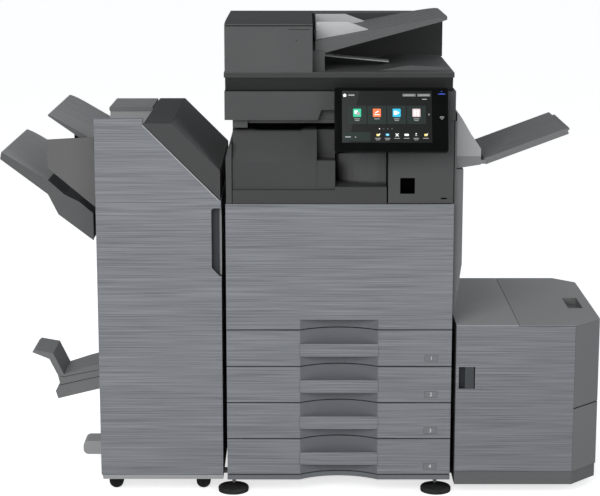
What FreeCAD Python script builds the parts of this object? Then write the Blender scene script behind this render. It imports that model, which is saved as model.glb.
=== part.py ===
"""Floor-standing photocopier with a staple finisher and a large paper cabinet.

Millimetres, +Z up, +X to the operator's right, -Y towards the operator. The machine is laid out
about the middle of its main unit, with the covers' front plane at Y = 0 and the floor at Z = 0;
everything is then moved so that the origin is the bottom centre of the whole object's box.
"""
import FreeCAD
import Part
import math
import os

Vector = FreeCAD.Vector

# ---------------------------------------------------------------- driving dimensions: main unit
MAIN_W = 588.0            # width over the side covers
MAIN_D = 640.0            # depth over the front and rear covers
COVER_T = 2.5             # wall of a painted or moulded cover
PLATE_T = 2.0             # sheet steel of the frames
SEAM = 3.0                # gap between neighbouring covers
RUN_GAP = 0.3             # gap between parts that move past each other
FLOOR_GAP = 39.0          # floor to the lower edge of the skirt
SKIRT_H = 14.0            # height of the skirt below the drawers
SCOOP_W = 206.0           # width of the hollow that runs down the middle of the front
SCOOP_DEPTH = 34.0        # depth of that hollow
SCOOP_RISE = 28.0         # how far the hollow reaches up into the front cover

DRAWER_COUNT = 4
DRAWER_PITCH = 98.3       # height of one drawer with its seam
FRONT_T = 44.0            # depth of a drawer front
HANDLE_Z = 27.0           # drawer's lower edge to the lower edge of its handle
HANDLE_H = 34.0
HANDLE_T = 7.0
SLIT_T = 1.2              # fine groove round the ends of a handle
SLIT_RUN = 14.0
BOX_CLEAR = 24.0          # drawer box to side cover, where the runners are
BOX_DEPTH = 540.0
BOX_WALL = 2.0
RUNNER_H = 6.0

FRONT_COVER_H = 334.3
FRONT_COVER_T = 20.0
DECK_H = 215.5            # height of the delivery section between front cover and scanner
RELAY_FRONT = (-275.0, -59.0)     # left and right of the relay unit in the delivery section
RELAY_H = 152.0
RELAY_UPRIGHT_H = 70.0    # height at which the relay unit's front starts to lean back
GUIDE_W = 47.0            # width of the guide block to the right of the relay unit
COLUMN_W = 170.0          # width of the column on the right of the delivery section
DELIVERY_LIP_H = 47.0     # height of the lip under the delivery opening
SWITCH_W = 37.6           # pocket of the main switch in the column
SWITCH_H = 41.0
SWITCH_DEPTH = 14.0
SLOT_W = 14.9
SLOT_H = 4.2
NOTCH_W = 319.0           # raised lower edge of the scanner's front behind the panel
NOTCH_H = 26.0
NOTCH_DEPTH = 24.0

SCANNER_H = 73.0
SCANNER_D = 600.0
CARRIAGE_W = 40.0
RAIL_R = 4.0
FIT_GAP = 0.05            # radial clearance of a shaft in its bore

# ---------------------------------------------------------------- driving dimensions: feeder
LID_H = 46.3
LID_BEVEL = 33.9          # height of the lid's undercut lower part
LID_D = 598.0
LID_INSET = 6.0           # how much shorter the lid is at its right end
FEEDER_W = 223.5
FEEDER_FRONT_H = 121.9
FEEDER_RISE = 3.6         # how much the sloping top gains from front to back
FEEDER_D = 446.0
FEEDER_WALL_H = 118.5     # height of the housing behind the document tray
FEEDER_WALL_D = 130.0
DOC_TRAY_LEFT_T = 36.0
DOC_TRAY_RIGHT_T = 8.0
DOC_TRAY_CORNER_R = 75.0  # rear corner at its right end
DOC_TRAY_FRONT_R = 14.0
DOC_TRAY_LIFT = 39.2      # underside of the tray above the lid, at its left end
DOC_TRAY_RISE = 90.0      # gain of the tray's underside over its length
DOC_TRAY_L = 336.0
DOC_TRAY_Y = (45.0, 430.0)
DOC_GUIDE_L = 132.0
DOC_GUIDE_Y = (90.0, 380.0)
DOC_GUIDE_H = 46.0
ROLLER_R = 14.0

# ---------------------------------------------------------------- driving dimensions: panel
PANEL_W = 286.0
PANEL_L = 165.0           # along its sloping face
PANEL_T = 20.0
PANEL_TILT = 20.0         # degrees from upright
PANEL_LEFT_X = -15.5
PANEL_RISE = 12.8         # panel's upper edge above the scanner
PANEL_TOP_Y = -27.0
GLASS_T = 1.6

# ---------------------------------------------------------------- driving dimensions: right side
DOOR_Z = (487.0, 990.0)   # right door's lower and upper edge
DOOR_BULGE = 23.0
DOOR_BULGE_Z = (618.0, 866.0)
DOOR_Y = (22.0, 598.0)
HUB_Y = (30.0, 430.0)
BYPASS_Y = (34.0, 370.0)
BYPASS_L = 228.0
BYPASS_T = 16.0
BYPASS_ANGLE = 20.5

# ---------------------------------------------------------------- driving dimensions: finisher
FIN_GAP = 11.0            # main unit to finisher
FIN_W = 322.0
FIN_D = 560.0
FIN_DOOR_TOP_Z = 999.0
FIN_DOOR_T = 20.0
FIN_BASE_Z = 40.0
FIN_BASE_H = 12.0
SLOPE_COVER_LIFT = 76.0   # the dark cover's height above the door's sloping edge
GRIP_W = 25.0
GRIP_Z = (590.0, 768.0)
GRIP_CHAMFER = 22.0       # height of the slanting lower end of the grip
TRAY_Y = (40.0, 510.0)
TRAY_CORNER_R = 45.0
TRAY_GAP = 11.0           # offset tray to the finisher's wall
OFFSET_TRAVEL = 300.0
SADDLE_Y = (190.0, 330.0)
FIN_WHEEL_R = 19.0
FIN_WHEEL_INSET = (34.0, 55.0)  # wheels from the left and right wall
FIN_WHEEL_Y = (59.0, 500.0)

# ---------------------------------------------------------------- driving dimensions: cabinet
LCC_GAP = 12.0            # main unit to paper cabinet
LCC_FRONT_W = 310.0
LCC_SIDE_W = 75.0         # width of the bevelled right side
LCC_D = 576.0
LCC_Z = (25.0, 459.0)
LCC_PLINTH_H = 36.0
LCC_SPLIT_Z = 234.0       # split between its opening door and the lower cover
LCC_TOP_SPLIT = 163.0     # left wall to the split in its top
LCC_REAR_BEVEL = 58.0
LATCH_X = (7.5, 50.0)     # latch recess from the cabinet's left wall
LATCH_Z = (288.0, 347.0)
LCC_WHEEL_R = 21.0

# ---------------------------------------------------------------- levels and edges that follow
HALF_W = MAIN_W / 2
SKIRT_Z = FLOOR_GAP
DRAWERS_Z = SKIRT_Z + SKIRT_H
FRONT_COVER_Z = DRAWERS_Z + DRAWER_COUNT * DRAWER_PITCH
DECK_Z = FRONT_COVER_Z + FRONT_COVER_H
SCANNER_Z = DECK_Z + DECK_H
SCANNER_TOP = SCANNER_Z + SCANNER_H
PANEL_TOP_Z = SCANNER_TOP + PANEL_RISE
LID_Z = SCANNER_TOP + 1.5
LID_TOP = LID_Z + LID_H
FIN_RIGHT = -HALF_W - FIN_GAP
FIN_LEFT = FIN_RIGHT - FIN_W
SLOPE_TOP = (FIN_RIGHT - 198.0, 984.0)    # upper end of the finisher door's sloping edge, X and Z
SLOPE_BOTTOM = (FIN_RIGHT - 4.0, 789.0)   # its lower end
LCC_LEFT = HALF_W + LCC_GAP
LCC_RIGHT = LCC_LEFT + LCC_FRONT_W + LCC_SIDE_W
COLUMN_X = HALF_W - COLUMN_W
RELAY_Z = DECK_Z + DECK_H - 28.0 - RELAY_H
FEEDER_RIGHT = -HALF_W + FEEDER_W
RELAY_RIGHT = RELAY_FRONT[1]
SWITCH_X = (COLUMN_X + 30.6, COLUMN_X + 30.6 + SWITCH_W)
SWITCH_Z = (DECK_Z + 25.5, DECK_Z + 25.5 + SWITCH_H)
SLOT_X = (COLUMN_X + 135.6, COLUMN_X + 135.6 + SLOT_W)
SLOT_Z = (DECK_Z + 11.2, DECK_Z + 11.2 + SLOT_H)
NOTCH_X = (PANEL_LEFT_X - 41.5, PANEL_LEFT_X - 41.5 + NOTCH_W)
GUIDE_RIGHT = RELAY_RIGHT + GUIDE_W
SIDE_X = HALF_W - COVER_T - SEAM          # outer face of the frame's side plates
REAR_Y = MAIN_D - COVER_T - SEAM          # outer face of the frame's rear plate
FRAME_FRONT_Y = FRONT_T + 4.0


# ---------------------------------------------------------------- shape helpers
def box(low, high):
    """A box from its low corner to its high corner."""
    size = [high[i] - low[i] for i in range(3)]
    return Part.makeBox(size[0], size[1], size[2], Vector(*low))


def face_of(points):
    wire = Part.makePolygon([Vector(*p) for p in points] + [Vector(*points[0])])
    return Part.Face(wire)


def prism_y(profile, y0, y1):
    """An X-Z outline swept from y0 to y1."""
    return face_of([(x, y0, z) for x, z in profile]).extrude(Vector(0, y1 - y0, 0))


def prism_x(profile, x0, x1):
    """A Y-Z outline swept from x0 to x1."""
    return face_of([(x0, y, z) for y, z in profile]).extrude(Vector(x1 - x0, 0, 0))


def prism_z(profile, z0, z1):
    """An X-Y outline swept from z0 to z1."""
    return face_of([(x, y, z0) for x, y in profile]).extrude(Vector(0, 0, z1 - z0))


def rod(start, axis, length, radius):
    return Part.makeCylinder(radius, length, Vector(*start), Vector(*axis))


def group(solids):
    """Separate solids kept side by side in one node."""
    return Part.makeCompound(solids)


def fused(first, *others):
    """One solid from solids that share faces or overlap."""
    return first.fuse(list(others)).removeSplitter()


def turned(shape, angle, centre, axis):
    copy = shape.copy()
    copy.rotate(Vector(*centre), Vector(*axis), angle)
    return copy


def rounded(shape, radius, direction):
    """Round the straight edges that run along one axis: 0 for X, 1 for Y, 2 for Z."""
    edges = []
    for edge in shape.Edges:
        ends = [v.Point for v in edge.Vertexes]
        if len(ends) == 2:
            run = (ends[1] - ends[0]).normalize()
            if abs((run.x, run.y, run.z)[direction]) > 0.999:
                edges.append(edge)
    return shape.makeFillet(radius, edges)


def scoop(z0, z1):
    """The round-backed hollow down the middle of the front, between two heights."""
    half = SCOOP_W / 2
    radius = (half * half + SCOOP_DEPTH * SCOOP_DEPTH) / (2 * SCOOP_DEPTH)
    return rod((0, SCOOP_DEPTH - radius, z0), (0, 0, 1), z1 - z0, radius)


def lerp(a, b, t):
    return a + (b - a) * t


# ---------------------------------------------------------------- main unit: frame and feet
RUNNER_LOW = 40.0         # drawer's lower edge to the underside of its runners
DOCK_RAIL_Y = (110.0, 520.0)
DOCK_RAIL_H = 10.0
DOCK_RAIL_W = 20.0
DOCK_RAIL_Z = 24.0
DOCK_RAIL_REACH = 240.0   # how far a rail reaches in under the main unit
ENGINE_Y = (50.0, 440.0)  # between the two plates that carry the print engine
COVER_AXIS = (6.0, FRONT_COVER_Z + 6.8)   # front cover's hinge line, Y and Z
PIN_R = 2.0
PAN_T = 9.0
FOOT_R = 40.0
FOOT_H = 13.0
FOOT_X = (-279.0, 259.0)
FOOT_Y = (30.0, 590.0)
SPINDLE_R = 5.0
PAN_TOP = SKIRT_Z + PAN_T


def drawer_z(number):
    """Lower edge of a drawer; number 1 is the top one."""
    return DRAWERS_Z + (DRAWER_COUNT - number) * DRAWER_PITCH


def dock_guide(side, y):
    """A channel under the base pan, in which a docking rail slides."""
    x0, x1 = sorted((side * (HALF_W - 84), side * (HALF_W - 24)))
    half = DOCK_RAIL_W / 2
    outer = box((x0, y - half - 4, DOCK_RAIL_Z - 4), (x1, y + half + 4, SKIRT_Z + 1))
    hole = box((x0 - 1, y - half - RUN_GAP, DOCK_RAIL_Z - RUN_GAP),
               (x1 + 1, y + half + RUN_GAP, DOCK_RAIL_Z + DOCK_RAIL_H + RUN_GAP))
    return outer.cut(hole)


def dock_rail(side, x_start, y):
    """A bar from an outer unit into the guide under the main unit."""
    half = DOCK_RAIL_W / 2
    x0, x1 = sorted((x_start, side * (HALF_W - DOCK_RAIL_REACH)))
    return box((x0, y - half, DOCK_RAIL_Z), (x1, y + half, DOCK_RAIL_Z + DOCK_RAIL_H))


def cover_arm(side):
    """An arm that carries the front cover's hinge pin."""
    x0, x1 = sorted((side * (HALF_W - 12), side * (HALF_W - 8)))
    y, z = COVER_AXIS
    eye = rod((x0, y, z), (1, 0, 0), x1 - x0, PIN_R + 1.2)
    arm = box((x0, y, z - 3), (x1, FRAME_FRONT_Y, z + 3))
    return fused(eye, arm).cut(rod((x0 - 1, y, z), (1, 0, 0), x1 - x0 + 2, PIN_R + FIT_GAP))


def base_frame():
    """Pan, side plates with drawer ledges, rear plate, shelf, engine plates and rail guides."""
    inside = SIDE_X - PLATE_T
    rear = REAR_Y - PLATE_T
    shelf_z = FRONT_COVER_Z + 2
    parts = [box((-SIDE_X, FRAME_FRONT_Y, SKIRT_Z + 1), (SIDE_X, REAR_Y, PAN_TOP)),
             box((-SIDE_X, rear, PAN_TOP), (SIDE_X, REAR_Y, SCANNER_Z - 12)),
             box((-inside, FRAME_FRONT_Y, shelf_z), (inside, rear, shelf_z + PLATE_T))]
    for y in ENGINE_Y:
        front = y - PLATE_T if y == ENGINE_Y[0] else y
        parts.append(box((-inside, front, shelf_z + PLATE_T), (inside, front + PLATE_T, DECK_Z - 4)))
    for side in (-1, 1):
        low, high = sorted((side * SIDE_X, side * inside))
        parts.append(box((low, ENGINE_Y[0] - PLATE_T, PAN_TOP), (high, rear, DECK_Z - 4)))
        low, high = sorted((side * inside, side * (HALF_W - BOX_CLEAR + 2)))
        for number in range(1, DRAWER_COUNT + 1):
            top = drawer_z(number) + RUNNER_LOW - RUN_GAP
            ledge_end = FRAME_FRONT_Y + BOX_DEPTH
            parts.append(box((low, FRAME_FRONT_Y, top - 8), (high, ledge_end, top)))
        for y in DOCK_RAIL_Y:
            parts.append(dock_guide(side, y))
        parts.append(cover_arm(side))
    return group(parts)


def leveling_feet():
    """Four discs on threaded spindles."""
    feet = []
    for x in FOOT_X:
        for y in FOOT_Y:
            disc = rod((x, y, 0), (0, 0, 1), FOOT_H, FOOT_R)
            rim = [edge for edge in disc.Edges if abs(edge.CenterOfMass.z - FOOT_H) < 0.01]
            spindle_x = max(min(x, SIDE_X - 2 * SPINDLE_R), -SIDE_X + 2 * SPINDLE_R)
            spindle_y = max(y, FRAME_FRONT_Y + 2 * SPINDLE_R)
            spindle = rod((spindle_x, spindle_y, FOOT_H - 4), (0, 0, 1),
                          SKIRT_Z + 1 - FOOT_H + 4, SPINDLE_R)
            feet.append(fused(disc.makeFillet(4.0, rim), spindle))
    return group(feet)


def base_skirt():
    """The strip that closes the space under the lowest drawer."""
    strip = box((-HALF_W, 0, SKIRT_Z), (HALF_W, FRAME_FRONT_Y, DRAWERS_Z - SEAM / 2))
    return strip.cut(scoop(SKIRT_Z - 1, DRAWERS_Z))


# ---------------------------------------------------------------- main unit: covers
def side_cover(side):
    low, high = sorted((side * HALF_W, side * (HALF_W - COVER_T)))
    top = SCANNER_Z - 2 if side > 0 else SHOULDER_Z[0]
    skin = box((low, FRAME_FRONT_Y, SKIRT_Z), (high, MAIN_D - COVER_T, top))
    low, high = sorted((side * (HALF_W - COVER_T), side * SIDE_X))
    spacer = box((low, 300, DRAWERS_Z), (high, 320, DECK_Z - 8))
    return fused(skin, spacer)


INLET_X = 205.0
INLET_Z = 140.0
INLET_W = 48.0
INLET_H = 28.0


def rear_cover():
    outline = [(-HALF_W, SKIRT_Z), (HALF_W, SKIRT_Z), (HALF_W, SCANNER_Z - 2), (CHEEK_X[0], SCANNER_Z - 2),
               (-HALF_W + HOUSING_T, SHOULDER_Z[1]), (-HALF_W, SHOULDER_Z[0])]
    skin = prism_y(outline, MAIN_D - COVER_T, MAIN_D)
    spacer = box((-120, REAR_Y, 300), (120, MAIN_D - COVER_T, 320))
    hole = box((INLET_X - INLET_W / 2, REAR_Y, INLET_Z - INLET_H / 2),
               (INLET_X + INLET_W / 2, MAIN_D + 1, INLET_Z + INLET_H / 2))
    return fused(skin, spacer).cut(hole)


def power_inlet():
    """A flush three-pin socket for the mains lead."""
    half_w = INLET_W / 2 - RUN_GAP
    half_h = INLET_H / 2 - RUN_GAP
    front = MAIN_D + 2.0
    body = box((INLET_X - half_w, REAR_Y, INLET_Z - half_h),
               (INLET_X + half_w, front - 2, INLET_Z + half_h))
    flange = box((INLET_X - half_w - 4, front - 2, INLET_Z - half_h - 4),
                 (INLET_X + half_w + 4, front, INLET_Z + half_h + 4))
    cavity = box((INLET_X - 18, REAR_Y + 1, INLET_Z - 9), (INLET_X + 18, front + 1, INLET_Z + 9))
    shell = fused(body, flange).cut(cavity)
    pins = [box((INLET_X + x - 1, REAR_Y + 1, INLET_Z + z - 2), (INLET_X + x + 1, front - 3, INLET_Z + z + 2))
            for x, z in ((-9, -2), (0, 3), (9, -2))]
    return fused(shell, *pins)


def front_cover():
    """The large door in front of the print engine, hollowed at its lower middle."""
    z0 = FRONT_COVER_Z + SEAM / 2
    z1 = DECK_Z - SEAM / 2
    half = HALF_W - 0.5
    scoop_top = FRONT_COVER_Z + SCOOP_RISE
    cup_half = SCOOP_W / 2 + COVER_T
    skin = rounded(box((-half, 0, z0), (half, FRONT_COVER_T, z1)), 1.5, 0)
    hollow = box((-half + COVER_T, COVER_T, z0 + COVER_T), (half - COVER_T, FRONT_COVER_T + 1, z1 - 6))
    cup = box((-cup_half, COVER_T, z0), (cup_half, SCOOP_DEPTH + COVER_T, scoop_top + COVER_T))
    body = fused(skin.cut(hollow), cup).cut(scoop(z0 - 2, scoop_top))
    for side in (-1, 1):
        x0, x1 = sorted((side * (HALF_W - 13), side * (HALF_W - 7)))
        body = body.cut(box((x0, COVER_T, z0 - 1), (x1, FRONT_COVER_T + 1, z0 + 20)))
        x0, x1 = sorted((side * (HALF_W - 22), side * (HALF_W - 2)))
        lug = box((x0, COVER_T, z0), (x1, COVER_AXIS[0] + 3, COVER_AXIS[1] + 4))
        slot_x0, slot_x1 = sorted((side * (HALF_W - 13), side * (HALF_W - 7)))
        slot = box((slot_x0, COVER_T, z0 - 1), (slot_x1, FRONT_COVER_T, z0 + 20))
        pin = rod((x0, *COVER_AXIS), (1, 0, 0), x1 - x0, PIN_R)
        body = fused(body, lug.cut(slot), pin)
    return body


# ---------------------------------------------------------------- main unit: paper drawers
def drawer_front(number):
    """A hollowed front with its handle bar across the hollow."""
    z0 = drawer_z(number) + SEAM / 2
    z1 = drawer_z(number) + DRAWER_PITCH - SEAM / 2
    half = HALF_W - 0.5
    skin = rounded(box((-half, 0, z0), (half, FRONT_T, z1)), 1.5, 0)
    cup_half = SCOOP_W / 2 + COVER_T
    for side in (-1, 1):
        x0, x1 = sorted((side * cup_half, side * (half - COVER_T)))
        skin = skin.cut(box((x0, COVER_T, z0 + COVER_T), (x1, FRONT_T - COVER_T, z1 - COVER_T)))
    skin = skin.cut(scoop(z0 - 1, z1 + 1))
    z_bar = drawer_z(number) + HANDLE_Z
    half_bar = SCOOP_W / 2 + 2
    bar = rounded(box((-half_bar, 0, z_bar), (half_bar, HANDLE_T, z_bar + HANDLE_H)), 3.0, 1)
    web = box((-SCOOP_W / 2, HANDLE_T - 1, z_bar + 2), (SCOOP_W / 2, FRONT_T - 4, z_bar + 5))
    front = fused(skin, bar, web)
    for side in (-1, 1):
        x = side * SCOOP_W / 2
        inner_x = side * (SCOOP_W / 2 - SLIT_RUN)
        x0, x1 = sorted((x, inner_x))
        front = front.cut(box((x - SLIT_T / 2, -1, z_bar), (x + SLIT_T / 2, SLIT_T, z_bar + HANDLE_H)))
        for z in (z_bar - SLIT_T / 2, z_bar + HANDLE_H - SLIT_T / 2):
            front = front.cut(box((x0, -1, z), (x1, SLIT_T, z + SLIT_T)))
    return front


def drawer_box(number):
    """A tray open at the top, with a runner along each side."""
    z0 = drawer_z(number) + 6
    z1 = drawer_z(number) + DRAWER_PITCH - 14
    half = HALF_W - BOX_CLEAR
    y0 = FRONT_T
    y1 = FRAME_FRONT_Y + BOX_DEPTH
    tub = box((-half, y0, z0), (half, y1, z1))
    t = BOX_WALL
    tub = tub.cut(box((-half + t, y0 + t, z0 + t), (half - t, y1 - t, z1 + 1)))
    z_run = drawer_z(number) + RUNNER_LOW
    runners = []
    for side in (-1, 1):
        x0, x1 = sorted((side * (half - BOX_WALL), side * (SIDE_X - PLATE_T - RUN_GAP)))
        runners.append(box((x0, FRAME_FRONT_Y, z_run), (x1, y1, z_run + RUNNER_H)))
    return fused(tub, *runners)


# ---------------------------------------------------------------- main unit: delivery section
HOUSING_T = 17.0
HOUSING_BACK_Y = 560.0
SHOULDER_Z = (DECK_Z + 113.5, DECK_Z + 158.5)     # the left wall's top slopes between these heights
CHEEK_X = (-HALF_W + 20.0, -HALF_W + 58.0)        # block under the scanner at the left
TOP_PLATE_T = 10.0
WALL_DEPTH = (120.0, 34.0)     # curved wall behind the front plane, at its left and right end


def upper_housing():
    """The dark casing round the delivery opening, which carries the scanner."""
    top = SCANNER_Z - 0.5
    z0 = DECK_Z
    y1 = REAR_Y - PLATE_T - 0.5
    left_x = -HALF_W + COVER_T + 0.5
    right_x = -HALF_W + HOUSING_T
    left = prism_y([(left_x, z0), (right_x, z0), (right_x, SHOULDER_Z[1]), (left_x, SHOULDER_Z[0])], 0, y1)
    cheek = box((CHEEK_X[0], 14, RELAY_Z + RELAY_H + 7), (CHEEK_X[1], HOUSING_BACK_Y, top))
    back = box((right_x, HOUSING_BACK_Y, z0), (COLUMN_X, y1, top))
    roof = box((CHEEK_X[0], 24, top - TOP_PLATE_T), (COLUMN_X, HOUSING_BACK_Y, top))
    floor = box((-HALF_W + HOUSING_T, 60, z0), (COLUMN_X, HOUSING_BACK_Y, z0 + 12))
    return group([left, fused(cheek, roof), back, floor])


def curved_wall():
    """The wall that closes the delivery opening in a curve behind the guide block."""
    front = []
    back = []
    steps = 10
    x0 = GUIDE_RIGHT + 0.5
    x1 = COLUMN_X - 4
    for i in range(steps + 1):
        t = i / steps
        y = lerp(WALL_DEPTH[0], WALL_DEPTH[1], math.sin(t * math.pi / 2))
        front.append((lerp(x0, x1, t * t), y))
        back.append((lerp(x0, x1, t * t), y + 4))
    return prism_z(front + back[::-1], DECK_Z + DELIVERY_LIP_H - 10, SCANNER_Z - TOP_PLATE_T - 1.0)


def exit_tray():
    """The lip and sloping floor of the delivery opening."""
    lip = DELIVERY_LIP_H
    profile = [(0, DECK_Z), (60, DECK_Z), (60, DECK_Z + 12), (HOUSING_BACK_Y, DECK_Z + 12),
               (HOUSING_BACK_Y, DECK_Z + 60), (40, DECK_Z + lip), (0, DECK_Z + lip - 4)]
    right = prism_x(profile, GUIDE_RIGHT, COLUMN_X - 4)
    low = box((RELAY_FRONT[0], 0, DECK_Z), (GUIDE_RIGHT, 60, RELAY_Z - 0.5))
    return fused(right, low, curved_wall())


def relay_cover():
    """The unit that carries sheets across to the finisher, with its guide block."""
    x0, x1 = RELAY_FRONT
    z1 = RELAY_Z + RELAY_H
    outline = [(6, RELAY_Z), (500, RELAY_Z), (500, z1 + 6), (44, z1), (38, z1 - 3), (6, RELAY_Z + RELAY_UPRIGHT_H)]
    body = prism_x(outline, x0, x1)
    block = box((x1 + 0.5, 6, RELAY_Z), (GUIDE_RIGHT, 500, RELAY_Z + 75))
    neck = box((x1 + 0.5, 60, RELAY_Z + 75), (GUIDE_RIGHT, 500, z1 - 4))
    bridge = box((GUIDE_RIGHT, 230, RELAY_Z + 92), (COLUMN_X, 500, z1 - 12))
    return group([body, fused(block, neck, bridge)])


def right_column():
    """The casing in which sheets rise on the right of the delivery opening."""
    z0 = DECK_Z + 1.5
    outer = box((COLUMN_X, 0, z0), (HALF_W - COVER_T - 0.5, REAR_Y - PLATE_T - 0.5, SCANNER_Z - 0.5))
    inner = box((COLUMN_X + COVER_T, COVER_T, z0 - 1),
                (HALF_W - 2 * COVER_T - 0.5, REAR_Y, SCANNER_Z - COVER_T - 6))
    x0, x1 = SWITCH_X
    low, high = SWITCH_Z
    t = COVER_T
    housing = box((x0 - t, 1, low - t), (x1 + t, SWITCH_DEPTH + t, high + t))
    pocket = box((x0, -1, low), (x1, SWITCH_DEPTH, high))
    slot = box((SLOT_X[0], -1, SLOT_Z[0]), (SLOT_X[1], t + 1, SLOT_Z[1]))
    return fused(outer.cut(inner), housing).cut(pocket).cut(slot)


# ---------------------------------------------------------------- main unit: scanner
GLASS_X = (-215.0, 250.0)
GLASS_Y = (60.0, 560.0)
SCAN_RAIL_Y = (120.0, 480.0)
SCAN_RAIL_Z = SCANNER_Z + 16
GLASS_PLATE_T = 4.0
HINGE_X = (-200.0, 200.0)
LID_AXIS = (SCANNER_D + 14.0, SCANNER_TOP + 9.0)


def scanner_case():
    """The flat casing under the glass, with two carriage rails and two lid hinge posts."""
    outer = rounded(box((-HALF_W, 0, SCANNER_Z), (HALF_W, SCANNER_D, SCANNER_TOP)), 2.0, 2)
    inner = box((-HALF_W + 3, 3, SCANNER_Z + 3), (HALF_W - 3, SCANNER_D - 3, SCANNER_TOP - 4))
    window = box((GLASS_X[0], GLASS_Y[0], SCANNER_TOP - 5), (GLASS_X[1], GLASS_Y[1], SCANNER_TOP + 1))
    n0, n1 = NOTCH_X
    top = SCANNER_Z + NOTCH_H
    step = box((n0 - 3, 1, SCANNER_Z + 1), (n1 + 3, NOTCH_DEPTH + 3, top + 3))
    notch = prism_y([(n0, SCANNER_Z - 1), (n1, SCANNER_Z - 1), (n1, top), (n0 + 9, top)], -1, NOTCH_DEPTH)
    case = fused(outer.cut(inner).cut(window), step).cut(notch)
    for x in HINGE_X:
        foot = box((x - 14, SCANNER_D - 1, SCANNER_TOP - 30), (x + 14, LID_AXIS[0] + 7, SCANNER_TOP))
        eye = box((x - 14, LID_AXIS[0] - 7, SCANNER_TOP - 1), (x + 14, LID_AXIS[0] + 7, LID_AXIS[1] + 7))
        bore = rod((x - 15, *LID_AXIS), (1, 0, 0), 30, RAIL_R + FIT_GAP)
        case = fused(case, foot, eye).cut(bore)
    rails = [rod((-HALF_W + 3, y, SCAN_RAIL_Z), (1, 0, 0), MAIN_W - 6, RAIL_R) for y in SCAN_RAIL_Y]
    return group([case] + rails)


def platen_glass():
    gap = 0.5
    return box((GLASS_X[0] + gap, GLASS_Y[0] + gap, SCANNER_TOP - GLASS_PLATE_T),
               (GLASS_X[1] - gap, GLASS_Y[1] - gap, SCANNER_TOP))


def glass_seat():
    """A frame under the glass, part of the casing."""
    z0 = SCANNER_TOP - 2 * GLASS_PLATE_T
    outer = box((GLASS_X[0] - 6, GLASS_Y[0] - 6, z0), (GLASS_X[1] + 6, GLASS_Y[1] + 6, z0 + GLASS_PLATE_T))
    return outer.cut(box((GLASS_X[0] + 6, GLASS_Y[0] + 6, z0 - 1), (GLASS_X[1] - 6, GLASS_Y[1] - 6, z0 + 9)))


def scan_carriage():
    """The lamp carriage on its two rails."""
    x0 = -HALF_W + 10
    body = box((x0, GLASS_Y[0] + 10, SCANNER_Z + 7), (x0 + CARRIAGE_W, GLASS_Y[1] - 10, SCANNER_Z + 44))
    for y in SCAN_RAIL_Y:
        body = body.cut(rod((x0 - 1, y, SCAN_RAIL_Z), (1, 0, 0), CARRIAGE_W + 2, RAIL_R + FIT_GAP))
    return body


# ---------------------------------------------------------------- main unit: print engine
ENGINE_TOP = DECK_Z - 4
BOTTLE_R = 30.0
BOTTLE_PITCH = 92.0
DRUM_R = 15.0


def engine_x(index):
    return -150.0 + index * BOTTLE_PITCH


def toner_bottles():
    z = ENGINE_TOP - BOTTLE_R - 26
    return group([rod((engine_x(i), ENGINE_Y[0], z), (0, 1, 0), ENGINE_Y[1] - ENGINE_Y[0], BOTTLE_R)
                  for i in range(4)])


def drum_units():
    z = ENGINE_TOP - 2 * BOTTLE_R - 84
    units = []
    for i in range(4):
        drum = rod((engine_x(i), ENGINE_Y[0], z), (0, 1, 0), ENGINE_Y[1] - ENGINE_Y[0], DRUM_R)
        case = box((engine_x(i) - 34, ENGINE_Y[0], z + 4), (engine_x(i) + 20, ENGINE_Y[1], z + 44))
        units.append(fused(drum, case))
    return group(units)


def transfer_belt():
    """The belt unit under the four drums."""
    z1 = ENGINE_TOP - 2 * BOTTLE_R - 84 - DRUM_R - 1
    slab = box((engine_x(0) - 60, ENGINE_Y[0], z1 - 40), (engine_x(3) + 60, ENGINE_Y[1], z1))
    return rounded(slab, 18.0, 1)


def fuser():
    """The heated roller pair in its housing, on the right."""
    x0 = engine_x(3) + BOTTLE_R + 22
    z0 = ENGINE_TOP - 150
    case = box((x0, ENGINE_Y[0], z0), (SIDE_X - PLATE_T - 12, ENGINE_Y[1], z0 + 120))
    return rounded(case, 6.0, 1)


# ---------------------------------------------------------------- document feeder
FEEDER_Z = LID_TOP
FEEDER_FRONT_TOP = LID_TOP + FEEDER_FRONT_H
FEEDER_TOP_T = 3.0
FEEDER_LEFT = -HALF_W + 1
DOC_TRAY_X = FEEDER_RIGHT + 7.5
DOC_TRAY_Z = LID_TOP + DOC_TRAY_LIFT
DOC_TRAY_Y0, DOC_TRAY_Y1 = DOC_TRAY_Y
DOC_AXIS = (DOC_TRAY_X + 12.0, DOC_TRAY_Z + 8.0)
STOPPER_AXIS = (FEEDER_RIGHT + 8.0, LID_TOP + 30.0)
STOPPER_Y = (190.0, 240.0)
ROLLER_AXIS = (FEEDER_RIGHT - 40.0, DOC_TRAY_Z + 42.0)
TOP_AXIS = (FEEDER_D - 8.0, FEEDER_FRONT_TOP + FEEDER_RISE - 8.5)    # feeder top cover's hinge, Y and Z
TOP_GAP = 2.5
CASING_T = 4.0


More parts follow.
